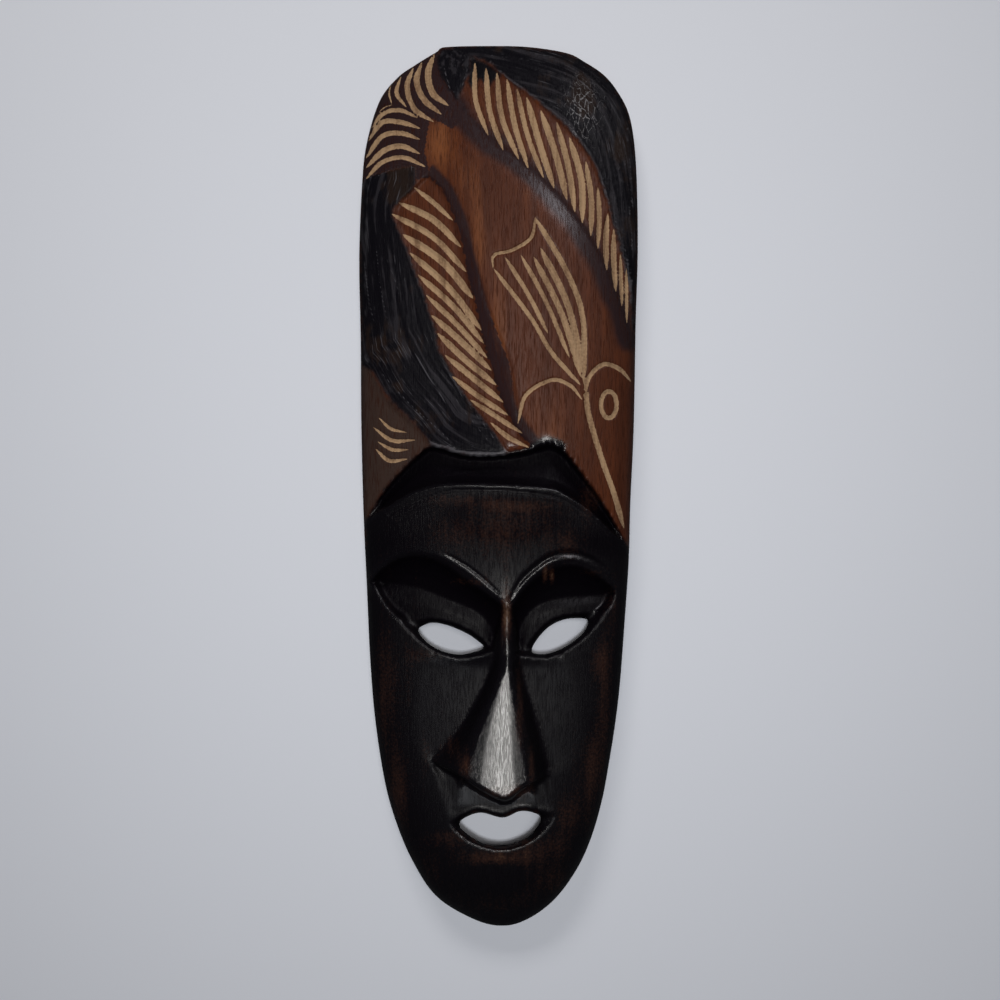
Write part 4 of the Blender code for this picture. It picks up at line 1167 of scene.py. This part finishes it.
def build_cutting_tree():
    """Moves the front along each point's line of sight, as deep as the nearest stroke says."""
    sockets = (("Geometry", "NodeSocketGeometry", None), ("Strokes", "NodeSocketObject", None),
               ("Raggedness", "NodeSocketFloat", 0.5), ("Grain Size", "NodeSocketFloat", 0.35),
               ("Seed", "NodeSocketFloat", 3.0), ("Sight", "NodeSocketFloat", SIGHT),
               ("Attribute", "NodeSocketString", "cut"), ("Material", "NodeSocketMaterial", None))
    tree, given, result = new_tree("cut_strokes", "GeometryNodeTree", sockets,
                                   (("Geometry", "NodeSocketGeometry", None),))
    entry = given.outputs
    drawn = make_node(tree, "GeometryNodeInputNamedAttribute", {"Name": "sheet"},
                      data_type="FLOAT_VECTOR").outputs[0]
    is_front = make_node(tree, "GeometryNodeInputNamedAttribute", {"Name": "front"},
                         data_type="FLOAT").outputs[0]
    chosen = make_node(tree, "GeometryNodeObjectInfo", {"Object": entry["Strokes"]})
    strokes = chosen.outputs["Geometry"]
    away = make_node(tree, "GeometryNodeProximity", {0: strokes, "Source Position": drawn},
                     target_element="EDGES").outputs["Distance"]
    nearest = make_node(tree, "GeometryNodeSampleNearest", {0: strokes, "Sample Position": drawn},
                        domain="POINT").outputs[0]

    def looked_up(name):
        field = make_node(tree, "GeometryNodeInputNamedAttribute", {"Name": name}, data_type="FLOAT")
        return make_node(tree, "GeometryNodeSampleIndex",
                         {0: strokes, "Value": field.outputs[0], "Index": nearest},
                         data_type="FLOAT", domain="POINT").outputs[0]

    reach, depth = looked_up("reach"), looked_up("depth")
    shifted = vector_maths(tree, "ADD", drawn, make_node(
        tree, "ShaderNodeCombineXYZ", {"Z": entry["Seed"]}).outputs[0])
    noise = make_node(tree, "ShaderNodeTexNoise", {"Vector": shifted, "Scale": entry["Grain Size"],
                                                   "Detail": 2.0}).outputs[0]
    ragged = maths(tree, "MULTIPLY", maths(tree, "SUBTRACT", noise, 0.5),
                   maths(tree, "MULTIPLY", entry["Raggedness"], 2.0))
    within_cut = maths(tree, "ADD", maths(tree, "SUBTRACT", reach, away), ragged)
    share = maths(tree, "DIVIDE", within_cut, maths(tree, "MAXIMUM", reach, LEAST_REACH), clamp=True)
    downwards = maths(tree, "MULTIPLY", is_front, -1.0)
    lift = maths(tree, "MULTIPLY", maths(tree, "MULTIPLY", share, depth), downwards)
    here = make_node(tree, "GeometryNodeInputPosition").outputs[0]
    eye = make_node(tree, "ShaderNodeCombineXYZ", {"Z": entry["Sight"]}).outputs[0]
    to_eye = vector_maths(tree, "SUBTRACT", eye, here)
    height_left = make_node(tree, "ShaderNodeSeparateXYZ", {0: to_eye}).outputs["Z"]
    scale = maths(tree, "DIVIDE", lift, height_left)
    offset = make_node(tree, "ShaderNodeVectorMath", {0: to_eye, "Scale": scale}, operation="SCALE")
    moved = make_node(tree, "GeometryNodeSetPosition",
                      {"Geometry": entry["Geometry"], "Offset": offset.outputs[0]})
    stored = make_node(tree, "GeometryNodeStoreNamedAttribute",
                       {"Geometry": moved.outputs[0], "Name": entry["Attribute"], "Value": within_cut},
                       data_type="FLOAT", domain="POINT")
    whole = make_node(tree, "GeometryNodeRealizeInstances", {0: stored.outputs[0]})
    finished = make_node(tree, "GeometryNodeSetMaterial",
                         {"Geometry": whole.outputs[0], "Material": entry["Material"]})
    tree.links.new(finished.outputs[0], result.inputs[0])
    return tree


cutting_tree = build_cutting_tree()
print("tree:", len(cutting_tree.nodes), "nodes")

# %% [markdown]
# Three passes go over the blank: first the gouge cuts of the hair, then the creases, and last the
# feathers, whose edges have to stay crisp. Each pass also leaves its values on the mesh, so that the
# stain knows later where the wood is bare.

# %% Cut them
GRAIN_SIZE = 0.35
HAIR_PASS = {"raggedness": 0.3, "seed": 9.0}
CREASE_PASS = {"raggedness": 0.15, "seed": 5.0}
FEATHER_PASS = {"raggedness": 0.75, "seed": 3.0}

wood = bpy.data.materials.new("stained_wood")
wood.use_nodes = True


def cut(blank, strokes, attribute, raggedness, seed):
    """Adds one pass of the cutting tree to the blank."""
    passing = blank.modifiers.new(attribute, "NODES")
    passing.node_group = cutting_tree
    ids = {item.name: item.identifier for item in cutting_tree.interface.items_tree
           if item.item_type == "SOCKET" and item.in_out == "INPUT"}
    settings = {"Strokes": strokes, "Raggedness": raggedness, "Seed": seed, "Attribute": attribute,
                "Material": wood, "Sight": SIGHT, "Grain Size": GRAIN_SIZE}
    for label, value in settings.items():
        passing[ids[label]] = value


blank = bpy.data.objects.new("blank", body)
scene.collection.objects.link(blank)
cut(blank, hair_gouges, "gouge", **HAIR_PASS)
cut(blank, creases, "crease", **CREASE_PASS)
cut(blank, feather_cuts, "bare", **FEATHER_PASS)
carved = bpy.data.meshes.new_from_object(blank.evaluated_get(bpy.context.evaluated_depsgraph_get()))
for helper in (blank, feather_cuts, creases, hair_gouges):
    bpy.data.objects.remove(helper)
mask = bpy.data.objects.new("carved_mask", carved)
scene.collection.objects.link(mask)
print("carved:", len(carved.vertices), "points; attributes:", [item.name for item in carved.attributes])

# %% [markdown]
# ## Where the stain is, and where it has worn
#
# The stain differs from place to place: black on the hair and most of the face, red-brown on the
# bird, purple-black along its shoulders. The mesh carries this as one value per point for each
# finish. Painted pictures could do it too, but values made by rules stay sharp at any size.


# %% Read the carved points back
def read(attribute, width=1):
    values = np.empty(len(carved.vertices) * width, np.float32)
    key = "value" if width == 1 else "vector"
    carved.attributes[attribute].data.foreach_get(key, values)
    return values.reshape(-1, width) if width > 1 else values


def write(name, values):
    """A value for each point, which the material reads by name."""
    layer = carved.attributes.new(name, "FLOAT", "POINT")
    layer.data.foreach_set("value", np.asarray(values, np.float32))


places = np.empty(len(carved.vertices) * 3, np.float32)
carved.vertices.foreach_get("co", places)
places = places.reshape(-1, 3).astype(float)
drawn = read("sheet", 3)[:, :2].astype(float)
drawn_x = drawn[:, 0]
is_front = drawn_x > 1.0
ends = np.empty(len(carved.edges) * 2, np.int32)
carved.edges.foreach_get("vertices", ends)
ends = ends.reshape(-1, 2)
print("points of the front:", int(is_front.sum()))

# %% [markdown]
# Handling wears some places more than others. Each is a soft round spot on the sheet, with its middle,
# its reach both ways and its strength. A strength below zero keeps the stain whole there.

# %% Spots of wear, of bright wood and of dull or glossy polish
WORN = (
    ((505, 792), (26, 8), 0.8), ((507, 616), (5, 24), 1.4), ((519, 715), (5, 60), 0.7),
    ((456, 500), (38, 7), 0.45), ((520, 506), (40, 7), 0.45), ((512, 528), (56, 32), 0.46),
    ((545, 574), (2.5, 8), 1.3), ((552, 576), (2.5, 7), 1.3), ((590, 573), (12, 4), 0.5),
    ((470, 582), (22, 4), 0.5), ((590, 495), (12, 24), 0.55),
    ((450, 535), (26, 22), 0.38), ((566, 545), (14, 14), 0.40), ((452, 748), (10, 16), 0.5),
    ((405, 680), (14, 50), 0.25), ((425, 655), (18, 9), 0.5), ((430, 752), (9, 22), 0.35),
    ((604, 700), (10, 60), 0.55), ((598, 660), (10, 20), 0.5), ((592, 770), (14, 40), 0.6),
    ((570, 815), (18, 26), 0.45), ((498, 859), (34, 7), 0.65), ((545, 848), (20, 12), 0.38),
    ((445, 838), (20, 10), 0.45), ((550, 880), (24, 14), 0.35), ((410, 800), (10, 40), 0.25),
    ((506, 560), (9, 40), 0.25), ((420, 870), (20, 20), 0.15), ((500, 905), (30, 10), 0.2),
    ((384, 690), (11, 70), 0.65), ((397, 790), (10, 50), 0.55), ((612, 610), (8, 40), 0.4),
    ((500, 870), (90, 50), 0.30), ((434, 812), (18, 14), -0.6), ((500, 879), (32, 13), -0.6),
    ((466, 768), (7, 14), 0.8), ((532, 765), (4, 24), 0.8))
BRIGHT = (
    ((438, 143), (14, 26), 0.9), ((470, 175), (20, 30), 0.4), ((480, 235), (12, 40), 0.5),
    ((500, 330), (10, 60), 0.5), ((470, 290), (8, 30), 0.2), ((545, 420), (25, 25), 0.25),
    ((530, 190), (25, 14), 0.2), ((590, 340), (20, 40), 0.2), ((560, 440), (20, 12), 0.25))
DULL = (((505, 518), (90, 36), 1.35), ((400, 545), (30, 16), 0.5), ((595, 545), (30, 16), 0.6),
        ((450, 425), (45, 34), 0.9), ((552, 768), (6, 6), 1.0))
SCRATCHED = (((583, 108), (13, 22), 1.0),)
GLOSSY = (((562, 206), (38, 36), 0.45),)


def patches(spots):
    """How strong the spots are at each point."""
    total = np.zeros(len(drawn))
    for middle, reach, strength in spots:
        away = ((drawn - middle) / reach) ** 2
        total += strength * np.exp(-away.sum(axis=1))
    return total


print("spots:", len(WORN) + len(BRIGHT) + len(DULL) + len(SCRATCHED) + len(GLOSSY))

# %% [markdown]
# The zones of stain follow the curves that the carving follows. The black of the band laps a little
# over the panel's edge, most of all on its hump at the right. Under the cap's edge, at the top of the
# right wing, a patch is painted black as the cap's shadow.

# %% Zones of the panel
# Painted shadow: black under the cap's edge at the top of the right wing, where the cap's shadow falls.
PAINTED_CAP_SHADOW = ((470, 54), (489, 63), (502, 75), (493, 80), (488, 88), (480, 76), (474, 92), (468, 82))
# The ground between the fan's cuts turns purple-black.
FAN_GROUND = ((436, 40), (444, 82), (468, 112), (452, 128), (430, 116), (424, 150), (430, 176),
              (350, 190), (350, 60))
FACET_LINE = ((470, 244), (478, 270), (485, 300), (499, 336), (511, 370), (517, 420), (533, 446))
FACET_START = 10
FACET_STAIN = 0.5
FAN_PURPLE = 0.75
CORNER_REST = ((434, 446), (340, 560), (340, 350))
LIP_STAIN = 2.6
LIP_STAIN_ENDS = (420, 566)
HUMP = 526
HUMP_STAIN = 4.6
FOOT_STAIN = 1.2


def stain_along(line, reach, most, off_body):
    """Stain that fades away from a line, and is weaker off the bird's body."""
    fading = np.clip(most - distance_to(drawn, line) / reach, 0.0, 1.0)
    return fading * np.where(on_body, 1.0, off_body)


upper = is_front & above_foot(drawn)
hair, flow = hair_flow(drawn)
in_tuft = within(drawn, TUFT_LEFT, TUFT_RIGHT) > 0.5
on_body = inside(drawn, bird_body())
to_foot = distance_to(drawn, smooth_curve(PANEL_FOOT))
facet = Field(smooth_curve(BODY_LEFT)[FACET_START:], smooth_curve(FACET_LINE)).across(drawn)[0]
in_corner = inside(drawn, np.vstack((smooth_curve(CORNER_EDGE), CORNER_REST)))
purple = np.maximum.reduce((
    stain_along(smooth_curve(BODY_RIGHT), reach=24.0, most=1.0, off_body=0.6),
    stain_along(smooth_curve(BODY_LEFT), reach=12.0, most=1.25, off_body=0.3),
    FACET_STAIN * facet, FAN_PURPLE * inside(drawn, np.array(FAN_GROUND, float))))
lip_stain = LIP_STAIN * ease((drawn_x - LIP_STAIN_ENDS[0]) / 15)
lip_stain += HUMP_STAIN * ease((drawn_x - HUMP) / 12)
stain_and_shadow = (to_foot < lip_stain) & (drawn_x < LIP_STAIN_ENDS[1])
# The black lapping over the panel's foot is stain; the patch under the cap's edge is painted shadow.
stain_and_shadow |= (to_foot < FOOT_STAIN) | inside(drawn, np.array(PAINTED_CAP_SHADOW, float))
print("points of the panel:", int(upper.sum()))

# %% [markdown]
# Beside the face the outer side is black too, and so are the walls of the openings. The rest of the
# back keeps the plain brown stain, since nobody sees it on a wall.

# %% Zones of the face, the sides and the polish
WALL_REACH = 9.0
SIDE_REACH = 5.0
SIDE_TOP = 545.0
LID_DULLNESS = 0.7
FACET_DULLNESS = 0.9
BAND_DULL_END = 0.95
BAND_DULL_FADE = 0.25
RUBBED_REACH = 2.5
RUBBED_LIP = (430, 503, 568)
RUBBED_LINES = (ARCH, LEFT_LID_SIDE, LEFT_BROW, RIGHT_BROW, MOUTH_FOOT,
                ((404, 650), (437, 660), (470, 664), (486, 658)), ((592, 613), (604, 606), (612, 603)))

around = SHEET_MIDDLE + places[:, :2] * (SHEET_WIDTH / WIDTH, -SHEET_LENGTH / LENGTH)
to_holes = np.minimum.reduce([distance_to(around, smooth_curve(hole, closed=True)) for hole in HOLES])
on_wall = ~is_front & (to_holes < WALL_REACH)
on_side = ~is_front & (around[:, 1] > SIDE_TOP) & (distance_to(around, OUTLINE_CURVE) < SIDE_REACH)
# The black zone also holds the painted shadow under the cap's edge.
on_face = (is_front & (~above_foot(drawn) | stain_and_shadow)) | on_wall | on_side

sockets = within(drawn, LEFT_BROW_FOOT, LEFT_LID) + within(drawn, RIGHT_BROW_FOOT, RIGHT_LID)
lids = within(drawn, LEFT_LID, LEFT_EYE_TOP) + within(drawn, RIGHT_LID, RIGHT_EYE_TOP)
in_band, band_share = strip(PANEL_FOOT, ARCH).across(drawn)
dull = np.maximum.reduce((
    sockets, LID_DULLNESS * lids, FACET_DULLNESS * (facet & upper), on_wall,
    np.where(in_band, ease((BAND_DULL_END - band_share) / BAND_DULL_FADE), 0.0),
    np.clip(patches(DULL), 0.0, 1.0)))

left_lip, lip_change, right_lip = RUBBED_LIP
near_lip = ((drawn_x > lip_change) & (drawn_x < right_lip) & (to_foot < LIP + 1)
            | (drawn_x > left_lip) & (drawn_x < lip_change) & (to_foot < RUBBED_REACH))
rubbed = (within(drawn, NOSE_LEFT_EDGE, NOSE_RIGHT_EDGE) > 0.5) | (above_foot(drawn) & near_lip)
for line in RUBBED_LINES:
    rubbed |= distance_to(drawn, smooth_curve(line)) < RUBBED_REACH
glossy = np.where(upper & on_body & (read("bare") < 0), patches(GLOSSY), 0.0)
print("rubbed points:", int((is_front & rubbed).sum()))

# %% [markdown]
# How far a point stands above the average of its surroundings picks out the raised points; on the
# hair they are painted pale, as highlights. A zone's edge is then softened over one to four points,
# and the values are handed over. The hair's own directions go along, so that its streaks can follow
# them.

# %% Hand the values over
NEIGHBOURHOOD = 10
RUBBED_ROUNDS = 4

average = evened(places[:, 2], ends[is_front[ends].all(axis=1)], NEIGHBOURHOOD)
# The raised points picked out here get painted highlights on the hair.
proud = np.where(is_front & ~in_tuft, (places[:, 2] - average) * 1000, 0.0)
black = np.where(upper & (hair | in_tuft), 1.0, 0.0)
softened = (("black", black, 1), ("face", on_face, 1), ("dull", dull, 2),
            ("corner", upper & in_corner, 2))
for name, zone, rounds in softened:
    write(name, evened(np.asarray(zone, float), ends, rounds))
write("rubbed", np.maximum(evened((is_front & rubbed).astype(float), ends, RUBBED_ROUNDS), glossy))
write("proud", proud)
write("shoulder", np.where(upper & ~hair, purple, 0.0))
write("scratched", np.where(is_front, patches(SCRATCHED), 0.0))
write("worn", np.where(is_front, patches(WORN), 0.0))
write("bright", np.where(upper, patches(BRIGHT), 0.0))

along_hair = np.column_stack((flow, np.zeros(len(flow)))) * LENGTH / SHEET_LENGTH
flow_layer = carved.attributes.new("flow", "FLOAT_VECTOR", "POINT")
flowing = np.where(hair[:, None], along_hair, places)
flow_layer.data.foreach_set("vector", flowing.astype(np.float32).ravel())
print("black points:", int(black.sum()), "of", len(black))

# %% [markdown]
# ## The stained wood
#
# Close up, the real surface is a fine hardwood with pores that run along the plank. Two node groups
# hold what repeats in the finish: the grain, and a ragged edge between two finishes. Both put out
# only masks and heights. The material itself mixes the colours and the polish.

# %% The grain
BAND_SCALE = 260.0
SPECKLE_SCALE = 900.0
GRAIN_STRETCH = (1.0, 0.055, 0.35)


def noise(tree, place, scale, detail, roughness):
    return make_node(tree, "ShaderNodeTexNoise", {"Vector": place, "Scale": scale, "Detail": detail,
                                                  "Roughness": roughness}).outputs[0]


def build_grain():
    """Soft bands along the plank and an even speckle, from the given place on the surface."""
    tree, given, result = new_tree(
        "plank_grain", "ShaderNodeTree",
        (("Vector", "NodeSocketVector", None), ("Stretch", "NodeSocketVector", GRAIN_STRETCH)),
        (("Bands", "NodeSocketFloat", None), ("Speckle", "NodeSocketFloat", None)))
    entry = given.outputs
    fibre = vector_maths(tree, "MULTIPLY", entry["Vector"], entry["Stretch"])
    tree.links.new(noise(tree, fibre, BAND_SCALE, 4.0, 0.6), result.inputs["Bands"])
    tree.links.new(noise(tree, entry["Vector"], SPECKLE_SCALE, 3.0, 0.5), result.inputs["Speckle"])
    return tree


grain_group = build_grain()
print("grain:", len(grain_group.nodes), "nodes")

# %% [markdown]
# Stain and wear seldom end in a clean line. The second group turns a soft value into a sharp mask, and
# lets a noise shift the place where it turns.

# %% The ragged edge between two finishes
def build_ragged():
    """A sharp mask from a soft value, broken up by noise."""
    tree, given, result = new_tree(
        "ragged_mask", "ShaderNodeTree",
        (("Value", "NodeSocketFloat", 0.0), ("Noise", "NodeSocketFloat", 0.5),
         ("Breakup", "NodeSocketFloat", 0.3), ("Start", "NodeSocketFloat", 0.4),
         ("Full", "NodeSocketFloat", 0.6)),
        (("Mask", "NodeSocketFloat", None),))
    entry = given.outputs
    centred = maths(tree, "SUBTRACT", entry["Noise"], 0.5)
    broken = maths(tree, "MULTIPLY_ADD", centred, entry["Breakup"], entry["Value"])
    mask_range = make_node(tree, "ShaderNodeMapRange", {"Value": broken, "From Min": entry["Start"],
                                                        "From Max": entry["Full"]},
                           interpolation_type="SMOOTHSTEP")
    tree.links.new(mask_range.outputs[0], result.inputs["Mask"])
    return tree


ragged_group = build_ragged()
print("groups:", grain_group.name, "and", ragged_group.name)

# %% [markdown]
# A few short names keep the material readable. A share, a value or a colour may be a number or the
# socket of another node. A ragged edge is given as its breakup and the values where it starts and is
# full. The pores are fine pits along the plank. They are built here and not in the group, because
# they also dull the shine, which the export can't read from a group.

# %% Short names for the material's nodes
PATCH_SCALE = 38.0
PORE_SCALE = 2500.0
PORE_RANGE = (0.50, 0.64)

tree = wood.node_tree
shader = tree.nodes["Principled BSDF"]


def mix(share, first, second):
    """Colour between two, by the share."""
    node = make_node(tree, "ShaderNodeMix", {0: share, 6: first, 7: second}, data_type="RGBA")
    return node.outputs[2]


def blend(share, first, second):
    """Value between two, by the share."""
    node = make_node(tree, "ShaderNodeMix", {0: share, 2: first, 3: second}, data_type="FLOAT")
    return node.outputs[0]


def times(first, second):
    return maths(tree, "MULTIPLY", first, second)


def plus(first, second):
    return maths(tree, "ADD", first, second)


def carried(name, output="Fac"):
    """The value that the mesh carries under a name."""
    return make_node(tree, "ShaderNodeAttribute", attribute_name=name).outputs[output]


def ragged(value, texture, breakup, start, full):
    return make_node(tree, "ShaderNodeGroup", {"Value": value, "Noise": texture, "Breakup": breakup,
                                               "Start": start, "Full": full},
                     node_tree=ragged_group).outputs["Mask"]


here = make_node(tree, "ShaderNodeTexCoord").outputs["Object"]
grain = make_node(tree, "ShaderNodeGroup", {"Vector": here}, node_tree=grain_group)
bands, speckle = grain.outputs["Bands"], grain.outputs["Speckle"]
pore_noise = noise(tree, vector_maths(tree, "MULTIPLY", here, GRAIN_STRETCH), PORE_SCALE, 2.0, 0.55)
pores = make_node(tree, "ShaderNodeMapRange", {"Value": pore_noise, "From Min": PORE_RANGE[0],
                                               "From Max": PORE_RANGE[1]}).outputs[0]
patchy = noise(tree, here, PATCH_SCALE, 4.0, 0.6)
is_face, is_hair, is_rubbed = carried("face"), carried("black"), carried("rubbed")
print("values carried by the mesh:", sum(1 for item in carved.attributes if item.domain == "POINT"))

# %% [markdown]
# The bird was stained red-brown and rubbed back, so it is brighter in patches and in fine bands
# along the grain. Its shoulders took a second, purple-black coat, and the ground of the fan behind it
# turns purple-black too. One brown for all of it would look like plastic.

# %% The colour of the bird
RED_BROWN = (0.094, 0.025, 0.009, 1.0)
BRIGHT_BROWN = (0.190, 0.063, 0.021, 1.0)
DARK_BROWN = (0.030, 0.009, 0.005, 1.0)
PURPLE_BLACK = (0.0210, 0.0100, 0.0110, 1.0)
CORNER_BROWN = (0.034, 0.024, 0.020, 1.0)
BAND_EDGE = (0.3, 0.25, 0.70)
BAND_SHARES = (0.45, 0.75)
BRIGHT_EDGE = (1.0, 0.10, 1.0)
BRIGHT_SHARE = 0.8
SHOULDER_EDGE = (0.7, 0.20, 0.60)
CORNER_SHARE = 0.85
PORE_SHARE = 0.65

bird = mix(blend(*BAND_SHARES, ragged(bands, patchy, *BAND_EDGE)), DARK_BROWN, RED_BROWN)
bird = mix(times(ragged(carried("bright"), bands, *BRIGHT_EDGE), BRIGHT_SHARE), bird, BRIGHT_BROWN)
bird = mix(ragged(carried("shoulder"), patchy, *SHOULDER_EDGE), bird, PURPLE_BLACK)
bird = mix(times(carried("corner"), CORNER_SHARE), bird, CORNER_BROWN)
bird = mix(times(pores, PORE_SHARE), bird, DARK_BROWN)
print("material with the bird:", len(tree.nodes), "nodes")

# %% [markdown]
# The face is black and worn to brown where it is handled. The wear eats into the stain in specks, so
# its mask is broken up by speckle and grain. An even fade would look like spray paint.

# %% The colour of the face
# The same black also paints the shadow under the cap's edge at the top of the right wing.
FACE_BLACK = (0.0020, 0.0013, 0.0024, 1.0)
FACE_WORN = (0.026, 0.0105, 0.0070, 1.0)
FACE_THIN = (0.075, 0.040, 0.024, 1.0)
MOTTLE_SHARES = (0.55, 0.45)
WORN_EDGE = (2.2, 0.20, 1.05)
THIN_EDGE = (3.0, 0.85, 1.70)

mottle = plus(times(speckle, MOTTLE_SHARES[0]), times(bands, MOTTLE_SHARES[1]))
face = mix(ragged(carried("worn"), mottle, *WORN_EDGE), FACE_BLACK, FACE_WORN)
face = mix(ragged(carried("worn"), mottle, *THIN_EDGE), face, FACE_THIN)
print("material with the face:", len(tree.nodes), "nodes")

# %% [markdown]
# The hair is charcoal, with strands of grey and a few brown stretches. Thin pale scratches follow its
# flow, and its raised points and creases are painted pale, as highlights. One patch is scratched
# crosswise, as a rough tool leaves it, and a net of cell edges stands for those scratches.

# %% The colour of the hair
CHARCOAL = (0.0040, 0.0034, 0.0052, 1.0)
CHARCOAL_WORN = (0.0190, 0.0170, 0.0205, 1.0)
# The pale grey of the scratches, and of the highlights painted on raised points and creases.
PALE_SCRATCH_AND_HIGHLIGHT = (0.080, 0.076, 0.085, 1.0)
HAIR_BROWN = (0.0150, 0.0085, 0.0065, 1.0)
SCRATCH_PALE = (0.150, 0.145, 0.150, 1.0)
ALONG_THE_HAIR = (1.0, 0.045, 1.0)
STREAK_SCALE = 1100.0
STRAND_SCALE = 420.0
STRAND_EDGE = (0.6, 0.50, 0.62)
BROWN_EDGE = (0.4, 0.52, 0.66)
SCRATCH_EDGE = (0.5, 0.62, 0.74)
PROUD_HIGHLIGHT_EDGE = (0.8, 0.25, 0.75)
CREASE_HIGHLIGHT_EDGE = (1.2, 0.55, 1.05)
SCRATCH_AND_HIGHLIGHT_SHARE = 0.7
SLANT = (0.0, 0.0, 0.55)
NET_STRETCH = (1.0, 0.42, 1.0)
NET_SCALE = 400.0
NET_START = 0.40
NET_WIDTH = 0.42

flow_place = vector_maths(tree, "MULTIPLY", carried("flow", "Vector"), ALONG_THE_HAIR)
streaks = noise(tree, flow_place, STREAK_SCALE, 3.0, 0.6)
strands = noise(tree, flow_place, STRAND_SCALE, 3.0, 0.55)
scratches = ragged(streaks, patchy, *SCRATCH_EDGE)
# Painted highlights: pale on the hair's raised points and along its creases, where light would glint.
edges = ragged(carried("proud"), streaks, *PROUD_HIGHLIGHT_EDGE)
crease_highlight = ragged(carried("crease"), streaks, *CREASE_HIGHLIGHT_EDGE)
scratch_and_highlight = maths(tree, "MAXIMUM", maths(tree, "MAXIMUM", scratches, edges), crease_highlight)
slanted = make_node(tree, "ShaderNodeMapping",
                    {"Vector": here, "Rotation": SLANT, "Scale": NET_STRETCH})
net = make_node(tree, "ShaderNodeTexVoronoi", {"Vector": slanted.outputs[0], "Scale": NET_SCALE},
                feature="DISTANCE_TO_EDGE").outputs["Distance"]
broken = times(maths(tree, "SUBTRACT", speckle, NET_START), carried("scratched"))
crossed = maths(tree, "LESS_THAN", net, times(broken, NET_WIDTH))

hair = mix(ragged(strands, patchy, *STRAND_EDGE), CHARCOAL, CHARCOAL_WORN)
hair = mix(ragged(patchy, bands, *BROWN_EDGE), hair, HAIR_BROWN)
hair = mix(times(scratch_and_highlight, SCRATCH_AND_HIGHLIGHT_SHARE), hair, PALE_SCRATCH_AND_HIGHLIGHT)
hair = mix(crossed, hair, SCRATCH_PALE)
print("material with the hair:", len(tree.nodes), "nodes")

# %% [markdown]
# The cuts show bare wood, darker in bands. It goes on last, because the carver cut through all the
# stains.

# %% All colours together
BARE_WOOD = (0.360, 0.235, 0.135, 1.0)
BARE_SHADE = (0.160, 0.090, 0.050, 1.0)
BARE_EDGE = (0.9, -0.10, 0.25)
SHADE_EDGE = (0.4, 0.20, 0.65)

is_bare = ragged(carried("bare"), speckle, *BARE_EDGE)
bare = mix(ragged(bands, speckle, *SHADE_EDGE), BARE_SHADE, BARE_WOOD)
colour = mix(is_hair, mix(is_face, bird, face), hair)
tree.links.new(mix(is_bare, colour, bare), shader.inputs["Base Color"])
print("material with the cuts:", len(tree.nodes), "nodes")

# %% [markdown]
# The polish is satin on the stain, brighter where hands rub the nose and the ridges, and gone on bare
# wood. In the sockets and the band, where no hand gets, the stain hardly shines at all. A thin coat
# gives the rubbed places a second, sharper shine, as wax does. The exported model can't carry a shine
# that changes, so the socket's own value is the bird's.

# %% The polish
BIRD_ROUGH = 0.44
FACE_ROUGH = 0.40
RUBBED_ROUGH = 0.22
HAIR_ROUGH = 0.50
BARE_ROUGH = 0.85
UNEVEN = 0.16
COAT = 0.75
COAT_ROUGH = 0.25
BIRD_SHINE = 0.28
FACE_SHINE = 0.42
HAIR_SHINE = 0.20
DULL_SHINE = 0.05
BIRD_PITTING = 0.65
FACE_PITTING = 0.32

rough = blend(is_rubbed, blend(is_face, BIRD_ROUGH, FACE_ROUGH), RUBBED_ROUGH)
rough = blend(is_hair, rough, HAIR_ROUGH)
rough = plus(rough, times(maths(tree, "SUBTRACT", patchy, 0.5), UNEVEN))
tree.links.new(blend(is_bare, rough, BARE_ROUGH), shader.inputs["Roughness"])
pitting = times(pores, blend(is_face, BIRD_PITTING, FACE_PITTING))
unpitted = maths(tree, "SUBTRACT", 1.0, pitting)
tree.links.new(times(times(is_rubbed, unpitted), COAT), shader.inputs["Coat Weight"])
shader.inputs["Coat Roughness"].default_value = COAT_ROUGH
shine = blend(is_hair, blend(is_face, BIRD_SHINE, FACE_SHINE), HAIR_SHINE)
shine = blend(carried("dull"), shine, DULL_SHINE)
shader.inputs["Specular IOR Level"].default_value = BIRD_SHINE
tree.links.new(times(shine, unpitted), shader.inputs["Specular IOR Level"])
print("polish: roughness", RUBBED_ROUGH, "to", BARE_ROUGH)

# %% [markdown]
# Pores, fibres and hair scratches are too fine for the mesh, so they only tilt the light, as a bump.

# %% The fine relief
BUMP_DISTANCE = 0.0003
PORE_HEIGHT = -0.35
BAND_HEIGHT = 0.55
SPECKLE_HEIGHT = 0.45
STREAK_HEIGHT = 1.6
BIRD_BUMP = 0.6
FACE_BUMP = 0.5
RUBBED_BUMP = 0.36

relief = plus(times(pores, PORE_HEIGHT), times(bands, BAND_HEIGHT))
relief = plus(relief, times(speckle, SPECKLE_HEIGHT))
relief = plus(relief, times(times(streaks, is_hair), STREAK_HEIGHT))
strength = blend(is_rubbed, blend(is_face, BIRD_BUMP, FACE_BUMP), RUBBED_BUMP)
bump = make_node(tree, "ShaderNodeBump", {"Height": relief, "Strength": strength,
                                          "Distance": BUMP_DISTANCE})
tree.links.new(bump.outputs[0], shader.inputs["Normal"])
print("material:", len(tree.nodes), "nodes")

# %% [markdown]
# ## The mask in its place
#
# The carved mesh stands for the imported model's one solid, which stays hidden behind it. The fine
# mesh is kept inside the imported model's box.

# %% Finish
BOX_CLEARANCE = 0.00002

carved.materials.clear()
carved.materials.append(wood)
carved.shade_smooth()
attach(mask, "root")
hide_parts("mask")

low, high = np.array(cad_low) + BOX_CLEARANCE, np.array(cad_high) - BOX_CLEARANCE
carved.vertices.foreach_set("co", np.clip(places, low, high).astype(np.float32).ravel())
carved.update()
